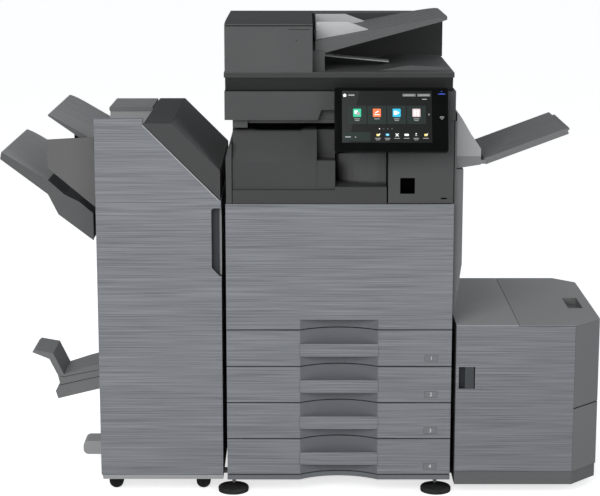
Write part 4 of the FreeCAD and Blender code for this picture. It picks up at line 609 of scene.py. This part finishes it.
# ---------------------------------------------------------------- operators
class COPIER_OT_finishes(bpy.types.Operator):
    """Gives every part of the copier its painted, moulded or metal finish"""
    bl_idname = "copier.finishes"
    bl_label = "Finishes"

    def execute(self, context):
        look = context.scene.copier_finishes
        panel, spread, shade = look.panel_shade, look.panel_spread, look.charcoal_shade
        hollow_half, skin = 103 * MM, 1.2 * MM
        main = brushed("streaked panel", panel, spread, look.hollow_shade, MIDDLE_X - hollow_half,
                       MIDDLE_X + hollow_half, FRONT_Y + skin)
        dress(main, "front_cover", *(f"drawer_front_{number}" for number in DRAWERS))
        low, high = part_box("finisher_door")
        # painted shade in the grip hollow by the door's right edge
        dress(brushed("streaked door", panel, spread, GRIP_PAINTED_SHADE, high.x - 26 * MM, high.x, low.y + skin),
              "finisher_door")
        low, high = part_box("lcc_front")
        # painted shade in the latch hollow by the cabinet front's left edge
        dress(brushed("streaked cabinet front", panel - 4, spread, GRIP_PAINTED_SHADE, low.x + 6 * MM,
                      low.x + 52 * MM, low.y + skin), "lcc_front")
        lid_low, lid_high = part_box("feeder_base")
        top_low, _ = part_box("feeder_top_cover")
        slope_low, slope_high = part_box("slope_cover")
        upper_low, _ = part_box("upper_tray")
        offset_low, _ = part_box("offset_tray")
        hub_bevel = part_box("bypass_hub")[0].z + 32 * MM
        side_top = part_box("lcc_door")[1].z - 0.6 * MM
        plinth_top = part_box("lcc_front")[0].z
        skin_y = 0.5 * MM                        # a front face lies this close to the box
        finishes = (
            (moulded("smooth panel grey", look.hollow_shade + 9, warm=-3), ("base_skirt",)),
            (moulded("latch grey", 77, warm=-3), ("lcc_latch",)),
            (moulded("saddle grey", 130), ("saddle_tray",)),
            (moulded("side cover grey", 120), ("left_cover", "right_cover", "rear_cover", "right_door")),
            (moulded("charcoal cover", shade - 3), ("scanner_case", "upper_housing", "right_column")),
            # relay cover: the cover charcoal painted darker, painted shade under the scanner
            (moulded("relay charcoal", shade - 12), ("relay_cover",)),
            # exit tray: a shaded copy of the charcoal on the lip and a lit copy on the well's wall, painted
            # shade and painted light
            (levels("delivery charcoal", shade - 13, ("Z", EXIT_PAINTED_LIGHT_LEVEL, shade + 10)), ("exit_tray",)),
            # feeder front: the charcoal painted a little lighter, painted light on the front face
            (moulded("feeder charcoal", shade + 4), ("feeder_cover",)),
            # feeder housing: the charcoal painted darker, painted shade
            (moulded("painted-shade charcoal cover", shade - 14), ("feeder_housing",)),
            # feeder top: the charcoal painted darker on the top face than on its front face, painted shade on
            # the top
            (levels("feeder top charcoal", shade - 34, front=(top_low.y + skin_y, shade + 4)),
             ("feeder_top_cover",)),
            # lid: painted shadow on its lower band under the edge, and painted light on the rise on top
            (levels("lid charcoal", shade - 42, ("Z", lid_low.z + 35 * MM, shade - 17),
                    ("Z", lid_high.z - LID_PAINTED_LIGHT_BAND, shade + 16)), ("feeder_base",)),
            # slope cover: one charcoal in three greys on its top, front and sloping faces, painted light and
            # painted shade
            (levels("slope charcoal", shade + 24, ("Z", slope_high.z - skin_y, shade - 8),
                    front=(slope_low.y + skin_y, shade - 3), roughness=0.7, specular=0.05),
             ("slope_cover",)),
            (moulded("black bracket", 34, 0.6), ("panel_bracket",)),
            # tray ribs: in the trays' lighter top grey, painted light
            (moulded("delivery tray grey", look.tray_shade + 22, warm=1), ()),
            # upper tray: painted light on the top, painted shade on the front edge
            (levels("upper tray grey", look.tray_shade + 24,
                    front=(upper_low.y + skin_y, look.tray_shade - 30)), ("upper_tray",)),
            # offset tray: painted light on the top, painted shade on the front edge, and a dark patch in the
            # front of the hollow behind the guard, painted shadow with some darker plastic there
            (levels("offset tray grey", look.tray_shade + 32, ("X", offset_low.x + 122 * MM, 44),
                    ("Y", offset_low.y + 130 * MM, look.tray_shade + 32),
                    front=(offset_low.y + skin_y, look.tray_shade - 30)), ("offset_tray",)),
            (moulded("guard grey", 107, warm=1), ("guard_plate",)),
            (moulded("top cover grey", 129), ("finisher_top_cover",)),
            # finisher body: set far lighter than its own grey to lift the shade it stands in, painted light
            (moulded("finisher body grey", 170), ("finisher_cabinet",)),
            (levels("cabinet grey", 109, ("Z", plinth_top, 124)), ("lcc_cabinet",)),
            # side door: painted light on its top faces
            (levels("side door grey", 122, ("Z", side_top, 157)), ("lcc_door",)),
            # cabinet top: lighter than the cabinet's sides, painted light on the top
            (moulded("cabinet top grey", 166), ("lcc_top_cover",)),
            # hub: painted lighter above the bevel line, painted light on its upper faces
            (levels("hub grey", 132, ("Z", hub_bevel, 166)), ("bypass_hub",)),
            (moulded("bypass tray grey", 122), ("bypass_tray", "bypass_extension")),
            (moulded("document tray grey", 100, 0.45), ("document_tray",)),
            (moulded("pale guide", 208, 0.4),
             ("document_guide_front", "document_guide_rear", "exit_stopper")),
            (gloss("panel black", grey(9)), ("control_panel",)),
            (gloss("screen glass", grey(7), 0.05, 0.03), ("panel_glass",)),
            (clear_glass("platen glass", 74), ("platen_glass",)),
            (rubber("foot rubber", 44, 13.2 * MM), ("leveling_feet",)),
            (rubber("roller rubber", 52), ("feed_roller",)),
            (rubber("wheel rubber", 34), ("finisher_wheels_left", "finisher_wheels_right", "lcc_wheels")),
            (steel("zinc sheet", 150), ("base_frame", "lcc_lift_plate", "scan_carriage")),
            (moulded("drawer box grey", 150, 0.55), [f"drawer_box_{number}" for number in DRAWERS]),
            (moulded("inlet black", 26), ("power_inlet",)),
            (moulded("engine plastic", 48), ("toner_bottles", "drum_units", "fuser")),
            (transfer_film("transfer film"), ("transfer_belt",)),
        )
        for material, names in finishes:
            dress(material, *names)
        return {"FINISHED"}


def panel_frame():
    """Lower left corner of the control panel's face, with its up and outward directions."""
    low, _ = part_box("panel_glass")
    up = Vector((0, math.sin(PANEL_TILT), math.cos(PANEL_TILT)))
    out = Vector((0, -math.cos(PANEL_TILT), math.sin(PANEL_TILT)))
    vertices = [v.co for v in node_part("panel_glass").data.vertices]
    face = max(v.dot(out) for v in vertices)
    foot = min(v.dot(up) for v in vertices)
    return Vector((low.x, 0, 0)) + out * face + up * foot, up, out


class COPIER_OT_screen(bpy.types.Operator):
    """Makes the lit menu of the control panel: tiles, small keys, page dots and lamp"""
    bl_idname = "copier.screen"
    bl_label = "Screen"

    def execute(self, context):
        look = context.scene.copier_screen
        corner, up, out = panel_frame()

        def place(u, v, lift):
            return corner + Vector(((u - MENU_INSET) * MM, 0, 0)) + up * (v * MM) + out * (lift * MM)

        glow = look.brightness
        dim = glow * 0.35                        # for the dark grounds
        colours = (("field", grey(15), dim), ("painted reflection", grey(36), dim), ("tile", chart(33, 44, 41), dim),
                   ("tile rim", chart(52, 62, 58), dim), ("green", chart(52, 176, 134), glow),
                   ("orange", chart(238, 112, 66), glow), ("cyan", chart(48, 172, 206), glow),
                   ("rose", chart(196, 176, 176), glow), ("white", grey(238), glow),
                   ("soft white", grey(150), glow), ("grey key", grey(104), glow),
                   ("blue", chart(60, 86, 190), glow), ("yellow", chart(226, 206, 120), glow))
        finishes = [lit("screen " + name, colour, strength) for name, colour, strength in colours]
        index = {name: i for i, (name, _, _) in enumerate(colours)}
        bm = bmesh.new()

        def patch(outline, name, low=LAYERS[0], thick=0.05):
            add_prism(bm, outline, low, low + thick, place, index[name])

        x0, x1 = 15.5, 241.5
        patch(rectangle(x0, 17, x1, 150), "field", 0.02, 0.03)
        # a pale wedge at the screen's left end: painted reflection on the glass, glowing
        patch([(x0, 17), (x0 + 17, 17), (x0 + 44, 150), (x0, 150)], "painted reflection", 0.055, 0.004)
        pitch, size = look.tile_pitch / MM, look.tile_size / MM
        for i, shade in enumerate(("green", "orange", "cyan", "rose")):
            left = 31 + i * pitch
            middle = left + size / 2
            patch(rounded_rectangle(left - 0.5, 65.5, left + size + 0.5, 111.5, 1.6), "tile rim")
            patch(rounded_rectangle(left, 66, left + size, 111, 1.5), "tile", LAYERS[1])
            patch(rounded_rectangle(middle - 10, 83, middle + 10, 104, 2.0), shade, LAYERS[2])
            patch(rectangle(middle - 7, 77.2, middle + 7, 78.8), "soft white", LAYERS[2])
            if i != 1:
                patch(rectangle(middle - 5.5, 73.2, middle + 5.5, 74.6), "soft white", LAYERS[2])
            self.symbol(patch, i, middle, 93.5)
        for i in range(4):
            radius, shade = (0.9, "soft white") if i else (1.3, "white")
            patch(disc(109.5 + 10.5 * i, 52.5, radius), shade)
        patch(rectangle(x0 + 2, 21, x0 + 71, 44), "tile")
        patch(rounded_rectangle(x0 + 8, 30.5, x0 + 22, 33, 0.8), "soft white", LAYERS[1])
        patch([(x0 + 32, 30), (x0 + 36, 30), (x0 + 34, 33.5)], "soft white", LAYERS[1])
        for i in range(6):
            u = 105.5 + 24 * i
            self.small_key(patch, i, u, 37)
            patch(rectangle(u - 7, 27.4, u + 7, 28.9), "soft white")
            if i in (0, 1, 4):
                patch(rectangle(u - 5, 23.6, u + 5, 24.9), "soft white")
        self.home(patch, 22.5, 139)
        patch(rounded_rectangle(32, 137.6, 47, 140.6, 0.8), "soft white")
        for left, right in ((168, 201), (205, 238)):
            patch(rounded_rectangle(left, 135.5, right, 142.5, 1.2), "grey key")
            patch(rectangle(left + 4, 138.2, right - 4, 139.8), "soft white", LAYERS[1])
        patch(rectangle(217, 127.6, 229, 129.4), "soft white")
        patch([(233, 86), (236, 89.2), (233, 92.4)], "soft white")
        led = 266.5
        lamp = [(led - 11, 142), (led - 5, 140.9), (led + 5, 140.9), (led + 11, 142), (led + 5, 143.1),
                (led - 5, 143.1)]
        patch(lamp, "blue")
        patch(disc(led, 148.5, 1.1), "blue")
        for i in range(3):
            radius = 3.2 + 3.0 * i
            patch(arc_band(led, 74.5, radius - 0.55, radius + 0.55, 52, 128), "soft white")
        add_shape(bm, "screen_menu", finishes, "control_panel")
        return {"FINISHED"}

    @staticmethod
    def symbol(patch, kind, u, v):
        """A plain sign for one tile: copy, scan, send or settings."""
        top = LAYERS[3]
        if kind == 0:
            patch(rectangle(u - 6.5, v - 2.5, u + 1.5, v + 6), "white", top)
            patch(rectangle(u - 1.5, v - 6, u + 6.5, v + 2.5), "soft white", top + 0.055)
        elif kind == 1:
            patch(rectangle(u - 7, v - 5.5, u + 7, v - 3.8), "white", top)
            patch([(u - 6, v - 1), (u + 3, v + 5.5), (u + 5, v + 3.6), (u - 3.4, v - 1)], "white", top)
        elif kind == 2:
            patch(rectangle(u - 7, v - 5, u + 1, v + 5), "white", top)
            patch([(u + 2.5, v - 3.6), (u + 7, v), (u + 2.5, v + 3.6)], "white", top)
        else:
            for i in (-1, 1):
                for j in (-1, 1):
                    x, y = u + 3.7 * i, v + 3.7 * j
                    patch(rectangle(x - 2.6, y - 2.6, x + 2.6, y + 2.6), "white", top)

    @staticmethod
    def small_key(patch, kind, u, v):
        """A plain sign for one of the small keys."""
        if kind in (0, 5):
            patch(rectangle(u - 3.5, v - 3, u + 4, v + 2.4), "yellow")
            patch([(u + 0.5, v), (u + 6, v + 4.6), (u + 4.4, v - 0.6)], "white", LAYERS[1])
        elif kind == 1:
            patch(rounded_rectangle(u - 4.2, v - 2.6, u + 4.2, v + 3.2, 1.0), "cyan")
            patch(rectangle(u - 2.4, v - 0.6, u + 2.4, v + 1.0), "white", LAYERS[1])
        elif kind == 2:
            patch([(u - 4.4, v - 3.4), (u - 3.0, v - 4.4), (u + 4.4, v + 3), (u + 3, v + 4)], "white")
            patch([(u + 4.4, v - 3.4), (u + 3, v - 4.4), (u - 4.4, v + 3), (u - 3, v + 4)], "white", LAYERS[1])
        elif kind == 3:
            patch(rounded_rectangle(u - 5.5, v - 2.6, u + 5.5, v + 2.6, 1.4), "white")
        else:
            patch([(u - 3.4, v - 2.6), (u + 3.4, v - 2.6), (u, v + 1.6)], "soft white")
            patch(disc(u, v + 3, 1.5), "white")

    @staticmethod
    def home(patch, u, v):
        patch([(u - 5, v), (u, v + 4.4), (u + 5, v)], "white")
        patch(rectangle(u - 3.4, v - 4, u + 3.4, v + 0.1), "white", LAYERS[1])


class COPIER_OT_drawer_plates(bpy.types.Operator):
    """Sets a plate with the drawer's number into each drawer front"""
    bl_idname = "copier.drawer_plates"
    bl_label = "Drawer number plates"

    def execute(self, context):
        plate = moulded("plate grey", 128, 0.35, warm=-3)
        rim = moulded("plate seam", 74, 0.6)
        ink = moulded("white ink", 232, spread=4)
        for number in DRAWERS:
            low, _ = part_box(f"drawer_front_{number}")
            middle = Vector((MIDDLE_X + 241 * MM, low.y, low.z + 21 * MM))
            place = facing(*middle)
            bm = bmesh.new()
            add_prism(bm, rounded_rectangle(-17.6, -8.9, 17.6, 8.9, 2.0), 0.02, 0.12, place, 0)
            add_prism(bm, rounded_rectangle(-16.9, -8.2, 16.9, 8.2, 1.6), 0.125, 0.35, place, 1)
            add_shape(bm, f"number_plate_{number}", [rim, plate], f"drawer_{number}")
            curve = bpy.data.curves.new(f"numeral_{number}", "FONT")
            curve.body = str(number)
            curve.size = 14 * MM
            curve.align_x = "CENTER"
            curve.align_y = "CENTER"
            curve.extrude = 0.1 * MM
            holder = bpy.data.objects.new(f"numeral_{number}", curve)
            context.scene.collection.objects.link(holder)
            context.view_layer.update()
            mesh = bpy.data.meshes.new_from_object(holder.evaluated_get(context.evaluated_depsgraph_get()))
            bpy.data.objects.remove(holder)
            mesh.transform(Matrix.Translation(middle + Vector((0, -0.46 * MM, 0)))
                           @ Matrix.Rotation(math.radians(90), 4, "X"))
            mesh.materials.clear()
            add_piece(f"drawer_numeral_{number}", mesh, [ink], f"drawer_{number}")
        return {"FINISHED"}


class COPIER_OT_feet_ribs(bpy.types.Operator):
    """Puts grip ribs round the levelling discs"""
    bl_idname = "copier.feet_ribs"
    bl_label = "Levelling disc ribs"

    def execute(self, context):
        count = context.scene.copier_details.foot_ribs
        low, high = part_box("leveling_feet")
        radius = 40 * MM
        xs = (low.x + radius, high.x - radius)
        ys = (low.y + radius, high.y - radius)
        centres = [Vector((x, y, 6.5 * MM)) for x in xs for y in ys]
        ring = ring_repeater()
        mesh = ring.make("foot_ribs", [bpy.data.materials["foot rubber"]], centres, Count=count,
                         Radius=radius - 0.6 * MM, Size=(2.2 * MM, 2.6 * MM, 6 * MM))
        add_piece("foot_ribs", mesh, [], "main_unit")
        return {"FINISHED"}


class COPIER_OT_tray_ribs(bpy.types.Operator):
    """Lays long ribs along the sheet trays"""
    bl_idname = "copier.tray_ribs"
    bl_label = "Tray ribs"

    def execute(self, context):
        context.view_layer.update()
        ribs = rib_repeater()
        thick = context.scene.copier_details.rib_thickness
        plans = (("document_tray", "document_tray", "document tray grey", 142, 318, 40, 76, 5),
                 ("upper_tray", "finisher", "delivery tray grey", 14, 96, 130, 90, 4),
                 ("offset_tray", "offset_tray", "delivery tray grey", 22, 112, 120, 95, 4),
                 ("bypass_tray", "bypass_tray", "bypass tray grey", 30, 205, 50, 62, 5))
        for node, body, finish, x0, x1, y, pitch, count in plans:
            low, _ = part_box(node)
            start, lean = top_of(node, low.x + x0 * MM, low.y + y * MM)
            end, _ = top_of(node, low.x + x1 * MM, low.y + y * MM)
            sink = lean * (thick * 0.15)
            mesh = ribs.make(f"ribs_{node}", [bpy.data.materials[finish]], Count=count, Pitch=pitch * MM,
                             Start=tuple(start - sink), End=tuple(end - sink), Thickness=thick)
            add_piece(f"ribs_{node}", mesh, [], body)
        return {"FINISHED"}


class COPIER_OT_trim(bpy.types.Operator):
    """Adds the small fixed trim: seams, switch, bracket, door handle, backing sheet and inlet pins, with
    painted shade in the switch's pocket and above the relay unit, and a painted highlight on the finisher
    door's edge
    """
    bl_idname = "copier.trim"
    bl_label = "Trim"

    def execute(self, context):
        black = moulded("trim black", 4, 0.6, spread=2, specular=0.0)
        shadow = moulded("seam shadow", 34, 0.7, spread=4)
        self.front_marks(black, shadow)
        self.switch(black)
        self.door_handle(shadow)
        self.backing_sheet()
        self.inlet_pins()
        self.door_edge()
        self.saddle_seam(shadow)
        return {"FINISHED"}

    @staticmethod
    def front_marks(black, shadow):
        """Marks on the feeder; the pin above the relay unit, and a black block in the deep gap there, painted
        shade; and the upper tray's bracket.
        """
        low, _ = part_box("feeder_cover")
        place = facing(MIDDLE_X, low.y, 0)
        bm = bmesh.new()
        add_prism(bm, rectangle(-131, 1224.8, -78, 1226.2), 0.02, 0.15, place)
        for x in (-244, -199, -170):
            add_prism(bm, disc(x, 1230, 1.0, 12), 0.02, 0.15, place)
        add_shape(bm, "feeder_marks", [shadow], "feeder")
        bm = bmesh.new()
        # black block filling the deep gap between relay unit and scanner: painted shade
        add_box(bm, (-214, 26, 968.5), (-101, 60, 985))
        add_prism(bm, disc(-224, 978, 5.5), 16, 60, lambda u, v, w: at(u, w, v))
        add_shape(bm, "relay_gap_pin_and_shade", [black], "main_unit")
        tray_low, tray_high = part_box("upper_tray")
        x, y = tray_high.x - 57 * MM, tray_low.y + 60 * MM
        under, _ = top_of("upper_tray", x, y)
        bm = bmesh.new()
        place = facing(x, y, under.z, 1)
        add_prism(bm, [(-5, -44), (5, -48), (5, -8), (-5, -8)], 0, 350, place)
        add_shape(bm, "upper_tray_bracket", [black], "finisher")

    @staticmethod
    def switch(black):
        """Black sheets inside the main switch's pocket and in the small slot below it, painted shade, and the
        switch's black rocker.
        """
        bm = bmesh.new()
        x0, x1, z0, z1, deep = 154.6, 192.2, 806.0, 847.0, 14.0
        # black sheets lining the switch's pocket: painted shade
        add_box(bm, (x0, deep - 0.5, z0), (x1, deep - 0.1, z1))
        add_box(bm, (x0 + 0.05, 0.4, z0), (x0 + 0.35, deep - 0.6, z1))
        add_box(bm, (x1 - 0.35, 0.4, z0), (x1 - 0.05, deep - 0.6, z1))
        add_box(bm, (x0 + 0.4, 0.4, z0 + 0.05), (x1 - 0.4, deep - 0.6, z0 + 0.35))
        add_box(bm, (x0 + 0.4, 0.4, z1 - 0.35), (x1 - 0.4, deep - 0.6, z1 - 0.05))
        rocker = [(9, 816), (7, 826), (9.5, 838), (13.4, 838), (13.4, 816)]
        add_prism(bm, rocker, 160, 187, lambda u, v, w: at(w, u, v))
        # black sheet in the small slot below the switch: painted shade
        add_box(bm, (259.7, 2.2, 791.8), (274.4, 2.6, 795.8))
        add_shape(bm, "switch_pocket_shade_and_rocker", [black], "main_unit")

    @staticmethod
    def door_handle(shadow):
        """The grip strip and the seams on the right door's face."""
        low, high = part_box("right_door")
        place = lambda u, v, w: Vector((high.x + w * MM, u * MM, v * MM))
        y0, y1 = low.y / MM, high.y / MM
        bm = bmesh.new()
        add_prism(bm, rounded_rectangle(y0 + 40, 664, y0 + 230, 714, 5), 0.02, 0.3, place)
        for z in (719, 620):
            add_prism(bm, rectangle(y0 + 2, z - 0.6, y1 - 14, z + 0.6), 0.02, 0.2, place)
        add_shape(bm, "door_seams", [shadow], "right_door")

    @staticmethod
    def backing_sheet():
        """The white sheet under the lid that backs the originals."""
        glass_low, glass_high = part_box("platen_glass")
        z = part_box("feeder_base")[0].z
        sheet = moulded("backing white", 232, 0.6, spread=4)
        edge = 14 * MM
        outline = rectangle(glass_low.x + edge, glass_low.y + edge, glass_high.x - edge, glass_high.y - edge)
        bm = bmesh.new()
        add_prism(bm, outline, z - 0.14 * MM, z - 0.02 * MM, lambda u, v, w: Vector((u, v, w)))
        add_shape(bm, "backing_sheet", [sheet], "feeder")

    @staticmethod
    def inlet_pins():
        """Three flat pins of the mains inlet."""
        low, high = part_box("power_inlet")
        middle = (low + high) / 2
        place = facing(middle.x, high.y, middle.z, 1)
        bm = bmesh.new()
        for u, v in ((-7, -2), (0, 4), (7, -2)):
            add_prism(bm, rectangle(u - 1, v - 3, u + 1, v + 3), -5, -0.6, place)
        add_shape(bm, "inlet_pins", [bpy.data.materials["zinc sheet"]], "main_unit")

    @staticmethod
    def door_edge():
        """A painted highlight: a bright flat strip along the finisher door's sloping edge."""
        low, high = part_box("finisher_door")
        highlight_grey = moulded("painted edge highlight", 186, 0.4)
        place = facing(high.x, low.y, 0)
        bm = bmesh.new()
        add_prism(bm, [(-198, 984), (-199.6, 982.4), (-5.6, 787.4), (-4, 789)], 0.02, 0.2, place)
        add_shape(bm, "door_edge_highlight", [highlight_grey], "finisher_door")

    @staticmethod
    def saddle_seam(shadow):
        """The joint between the two layers of the saddle tray."""
        low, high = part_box("saddle_tray")
        place = facing(high.x, low.y, low.z)
        bm = bmesh.new()
        for seam in ([(-134, 36), (-120, 39), (-2, 66), (-2, 67.4), (-121, 40.6), (-134, 37.4)],
                     [(-128, 62), (-116, 61), (-2, 84), (-2, 85.4), (-116, 62.4), (-128, 63.4)]):
            add_prism(bm, seam, 0.02, 0.2, place)
        add_shape(bm, "saddle_seam", [shadow], "finisher")


class COPIER_OT_rear_fittings(bpy.types.Operator):
    """Puts louvres and screws on the covers at the back"""
    bl_idname = "copier.rear_fittings"
    bl_label = "Louvres and screws"

    def execute(self, context):
        details = context.scene.copier_details
        dark = moulded("louvre shadow", 22, 0.8)
        cover = bpy.data.materials["side cover grey"]
        louvres = louvre_repeater()
        _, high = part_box("rear_cover")
        bm = bmesh.new()
        groups = ((-190, 560), (60, 560), (-190, 300))
        for x, z in groups:
            centre = at(x + 65, 0, z)
            tall = details.louvre_count * details.louvre_pitch
            place = facing(centre.x, high.y, centre.z, 1)
            add_prism(bm, rounded_rectangle(-68, -9, 68, tall / MM, 4), 0.05, 0.35, place)
        add_shape(bm, "louvre_shadows", [dark], "main_unit")
        for i, (x, z) in enumerate(groups):
            mesh = louvres.make(f"louvres_{i + 1}", [cover], Count=details.louvre_count,
                                Pitch=details.louvre_pitch, Length=130 * MM, Width=7 * MM, Thickness=1.4 * MM,
                                Tip=-0.6)
            mesh.transform(Matrix.Translation((at(x + 65, 0, z).x, high.y + 2.4 * MM, z * MM)))
            add_piece(f"louvres_{i + 1}", mesh, [], "main_unit")
        self.screws("rear_cover", "main_unit", details.screw_radius, 0.008)
        self.screws("finisher_cabinet", "finisher", details.screw_radius, 0.012, "finisher_door", 0.85)
        self.screws("lcc_cabinet", "paper_cabinet", details.screw_radius, 0.012, "lcc_front", 0.9)
        return {"FINISHED"}

    @staticmethod
    def screws(node, body, radius, margin, wide_as=None, top=0.9):
        """Screws along the rear edges of a cover that is as wide as another part."""
        low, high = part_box(node)
        left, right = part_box(wide_as or node)
        low.x = left.x
        points = []
        wide = right.x - left.x
        tall = (high.z - low.z) * top
        for fx in (0, 1):
            for fz in (0.08, 0.36, 0.64, 0.94):
                x = low.x + margin + fx * (wide - 2 * margin)
                points.append((x, high.y + 0.5 * MM, low.z + fz * tall))
        mesh = screw_repeater().make(f"screws_{node}", [bpy.data.materials["zinc sheet"],
                                                        bpy.data.materials["louvre shadow"]], points,
                                     Radius=radius, Turn=(math.radians(-90), 0, 0))
        add_piece(f"screws_{node}", mesh, [], body)


class COPIER_OT_stage(bpy.types.Operator):
    """Sets up the floor, the lamps, the world and the camera"""
    bl_idname = "copier.stage"
    bl_label = "Studio"

    def execute(self, context):
        look = context.scene.copier_studio
        bm = bmesh.new()
        reach = 40.0
        bm.faces.new([bm.verts.new((x, y, 0)) for x, y in rectangle(-reach, -reach, reach, reach)])
        mesh = bpy.data.meshes.new("studio_floor")
        bm.to_mesh(mesh)
        bm.free()
        floor = bpy.data.objects.new("studio_floor", mesh)
        context.scene.collection.objects.link(floor)
        mesh.materials.append(self.floor_finish(tuple(look.floor_colour) + (1.0,)))
        self.world(context.scene)
        for name, place, target, size, watts in LAMPS:
            self.lamp(name, place, target, size, watts)
        camera = bpy.data.cameras.new("camera")
        camera.lens = look.lens
        camera.sensor_width = 36.0
        viewer = bpy.data.objects.new("camera", camera)
        viewer.location = (COVER_LOW.x + EYE_FROM_LEFT, FRONT_Y - look.distance, look.eye_height)
        viewer.rotation_euler = (math.pi / 2 - look.pitch, 0, 0)
        context.scene.collection.objects.link(viewer)
        context.scene.camera = viewer
        context.scene.view_settings.view_transform = "Standard"
        return {"FINISHED"}

    @staticmethod
    def floor_finish(colour):
        """A pale floor that shows white to the camera, apart from the copier's shadow."""
        material = bpy.data.materials.new("studio floor")
        material.use_nodes = True
        tree = material.node_tree
        shader = tree.nodes["Principled BSDF"]
        shader.inputs["Base Color"].default_value = colour
        shader.inputs["Roughness"].default_value = 0.9
        shader.inputs["Specular IOR Level"].default_value = 0.1
        path = tree.nodes.new("ShaderNodeLightPath")
        seen = tree.nodes.new("ShaderNodeMath")
        seen.operation = "MAXIMUM"
        glow = tree.nodes.new("ShaderNodeEmission")
        glow.inputs["Strength"].default_value = 0.72
        add = tree.nodes.new("ShaderNodeAddShader")
        mix = tree.nodes.new("ShaderNodeMixShader")
        for start, end in ((path.outputs["Is Camera Ray"], seen.inputs[0]),
                           (path.outputs["Is Transmission Ray"], seen.inputs[1]),
                           (shader.outputs["BSDF"], add.inputs[0]), (glow.outputs["Emission"], add.inputs[1]),
                           (seen.outputs["Value"], mix.inputs["Fac"]),
                           (shader.outputs["BSDF"], mix.inputs[1]),
                           (add.outputs["Shader"], mix.inputs[2]),
                           (mix.outputs["Shader"], tree.nodes["Material Output"].inputs["Surface"])):
            tree.links.new(start, end)
        return material

    @staticmethod
    def world(scene):
        """Even pale light all round, seen as white."""
        world = bpy.data.worlds.new("studio")
        scene.world = world
        world.use_nodes = True
        tree = world.node_tree
        ground = tree.nodes["Background"]
        ground.inputs["Color"].default_value = (0.9, 0.95, 1.0, 1.0)
        ground.inputs["Strength"].default_value = 0.34
        white = tree.nodes.new("ShaderNodeBackground")
        white.inputs["Color"].default_value = (1, 1, 1, 1)
        white.inputs["Strength"].default_value = 1.0
        path = tree.nodes.new("ShaderNodeLightPath")
        mix = tree.nodes.new("ShaderNodeMixShader")
        for start, end in ((path.outputs["Is Camera Ray"], mix.inputs["Fac"]),
                           (ground.outputs["Background"], mix.inputs[1]),
                           (white.outputs["Background"], mix.inputs[2]),
                           (mix.outputs["Shader"], tree.nodes["World Output"].inputs["Surface"])):
            tree.links.new(start, end)

    @staticmethod
    def lamp(name, place, target, size, watts):
        light = bpy.data.lights.new(name, "AREA")
        light.shape = "SQUARE"
        light.size = size
        light.energy = watts
        lamp = bpy.data.objects.new(name, light)
        lamp.location = place
        aim = Vector(target) - Vector(place)
        lamp.rotation_euler = aim.to_track_quat("-Z", "Y").to_euler()
        bpy.context.scene.collection.objects.link(lamp)


class COPIER_PT_pieces(bpy.types.Panel):
    """Lists the makers of the copier's pieces"""
    bl_idname = "COPIER_PT_pieces"
    bl_label = "Copier"
    bl_space_type = "VIEW_3D"
    bl_region_type = "UI"
    bl_category = "Copier"

    def draw(self, context):
        for name, _ in GROUPS:
            settings = getattr(context.scene, name)
            box = self.layout.box()
            for key in settings.__annotations__:
                box.prop(settings, key)
        for maker in MAKERS:
            self.layout.operator(maker.bl_idname)


GROUPS = (("copier_finishes", CopierFinishes), ("copier_screen", CopierScreen),
          ("copier_details", CopierDetails), ("copier_studio", CopierStudio))
MAKERS = (COPIER_OT_finishes, COPIER_OT_screen, COPIER_OT_drawer_plates, COPIER_OT_feet_ribs,
          COPIER_OT_tray_ribs, COPIER_OT_trim, COPIER_OT_rear_fittings, COPIER_OT_stage)


def register():
    for name, group in GROUPS:
        bpy.utils.register_class(group)
        setattr(bpy.types.Scene, name, PointerProperty(type=group))
    for maker in MAKERS:
        bpy.utils.register_class(maker)
    bpy.utils.register_class(COPIER_PT_pieces)


def unregister():
    bpy.utils.unregister_class(COPIER_PT_pieces)
    for maker in reversed(MAKERS):
        bpy.utils.unregister_class(maker)
    for name, group in reversed(GROUPS):
        delattr(bpy.types.Scene, name)
        bpy.utils.unregister_class(group)


def main():
    register()
    for maker in MAKERS:
        area, name = maker.bl_idname.split(".")
        getattr(getattr(bpy.ops, area), name)()
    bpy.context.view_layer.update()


if __name__ == "__main__":
    main()
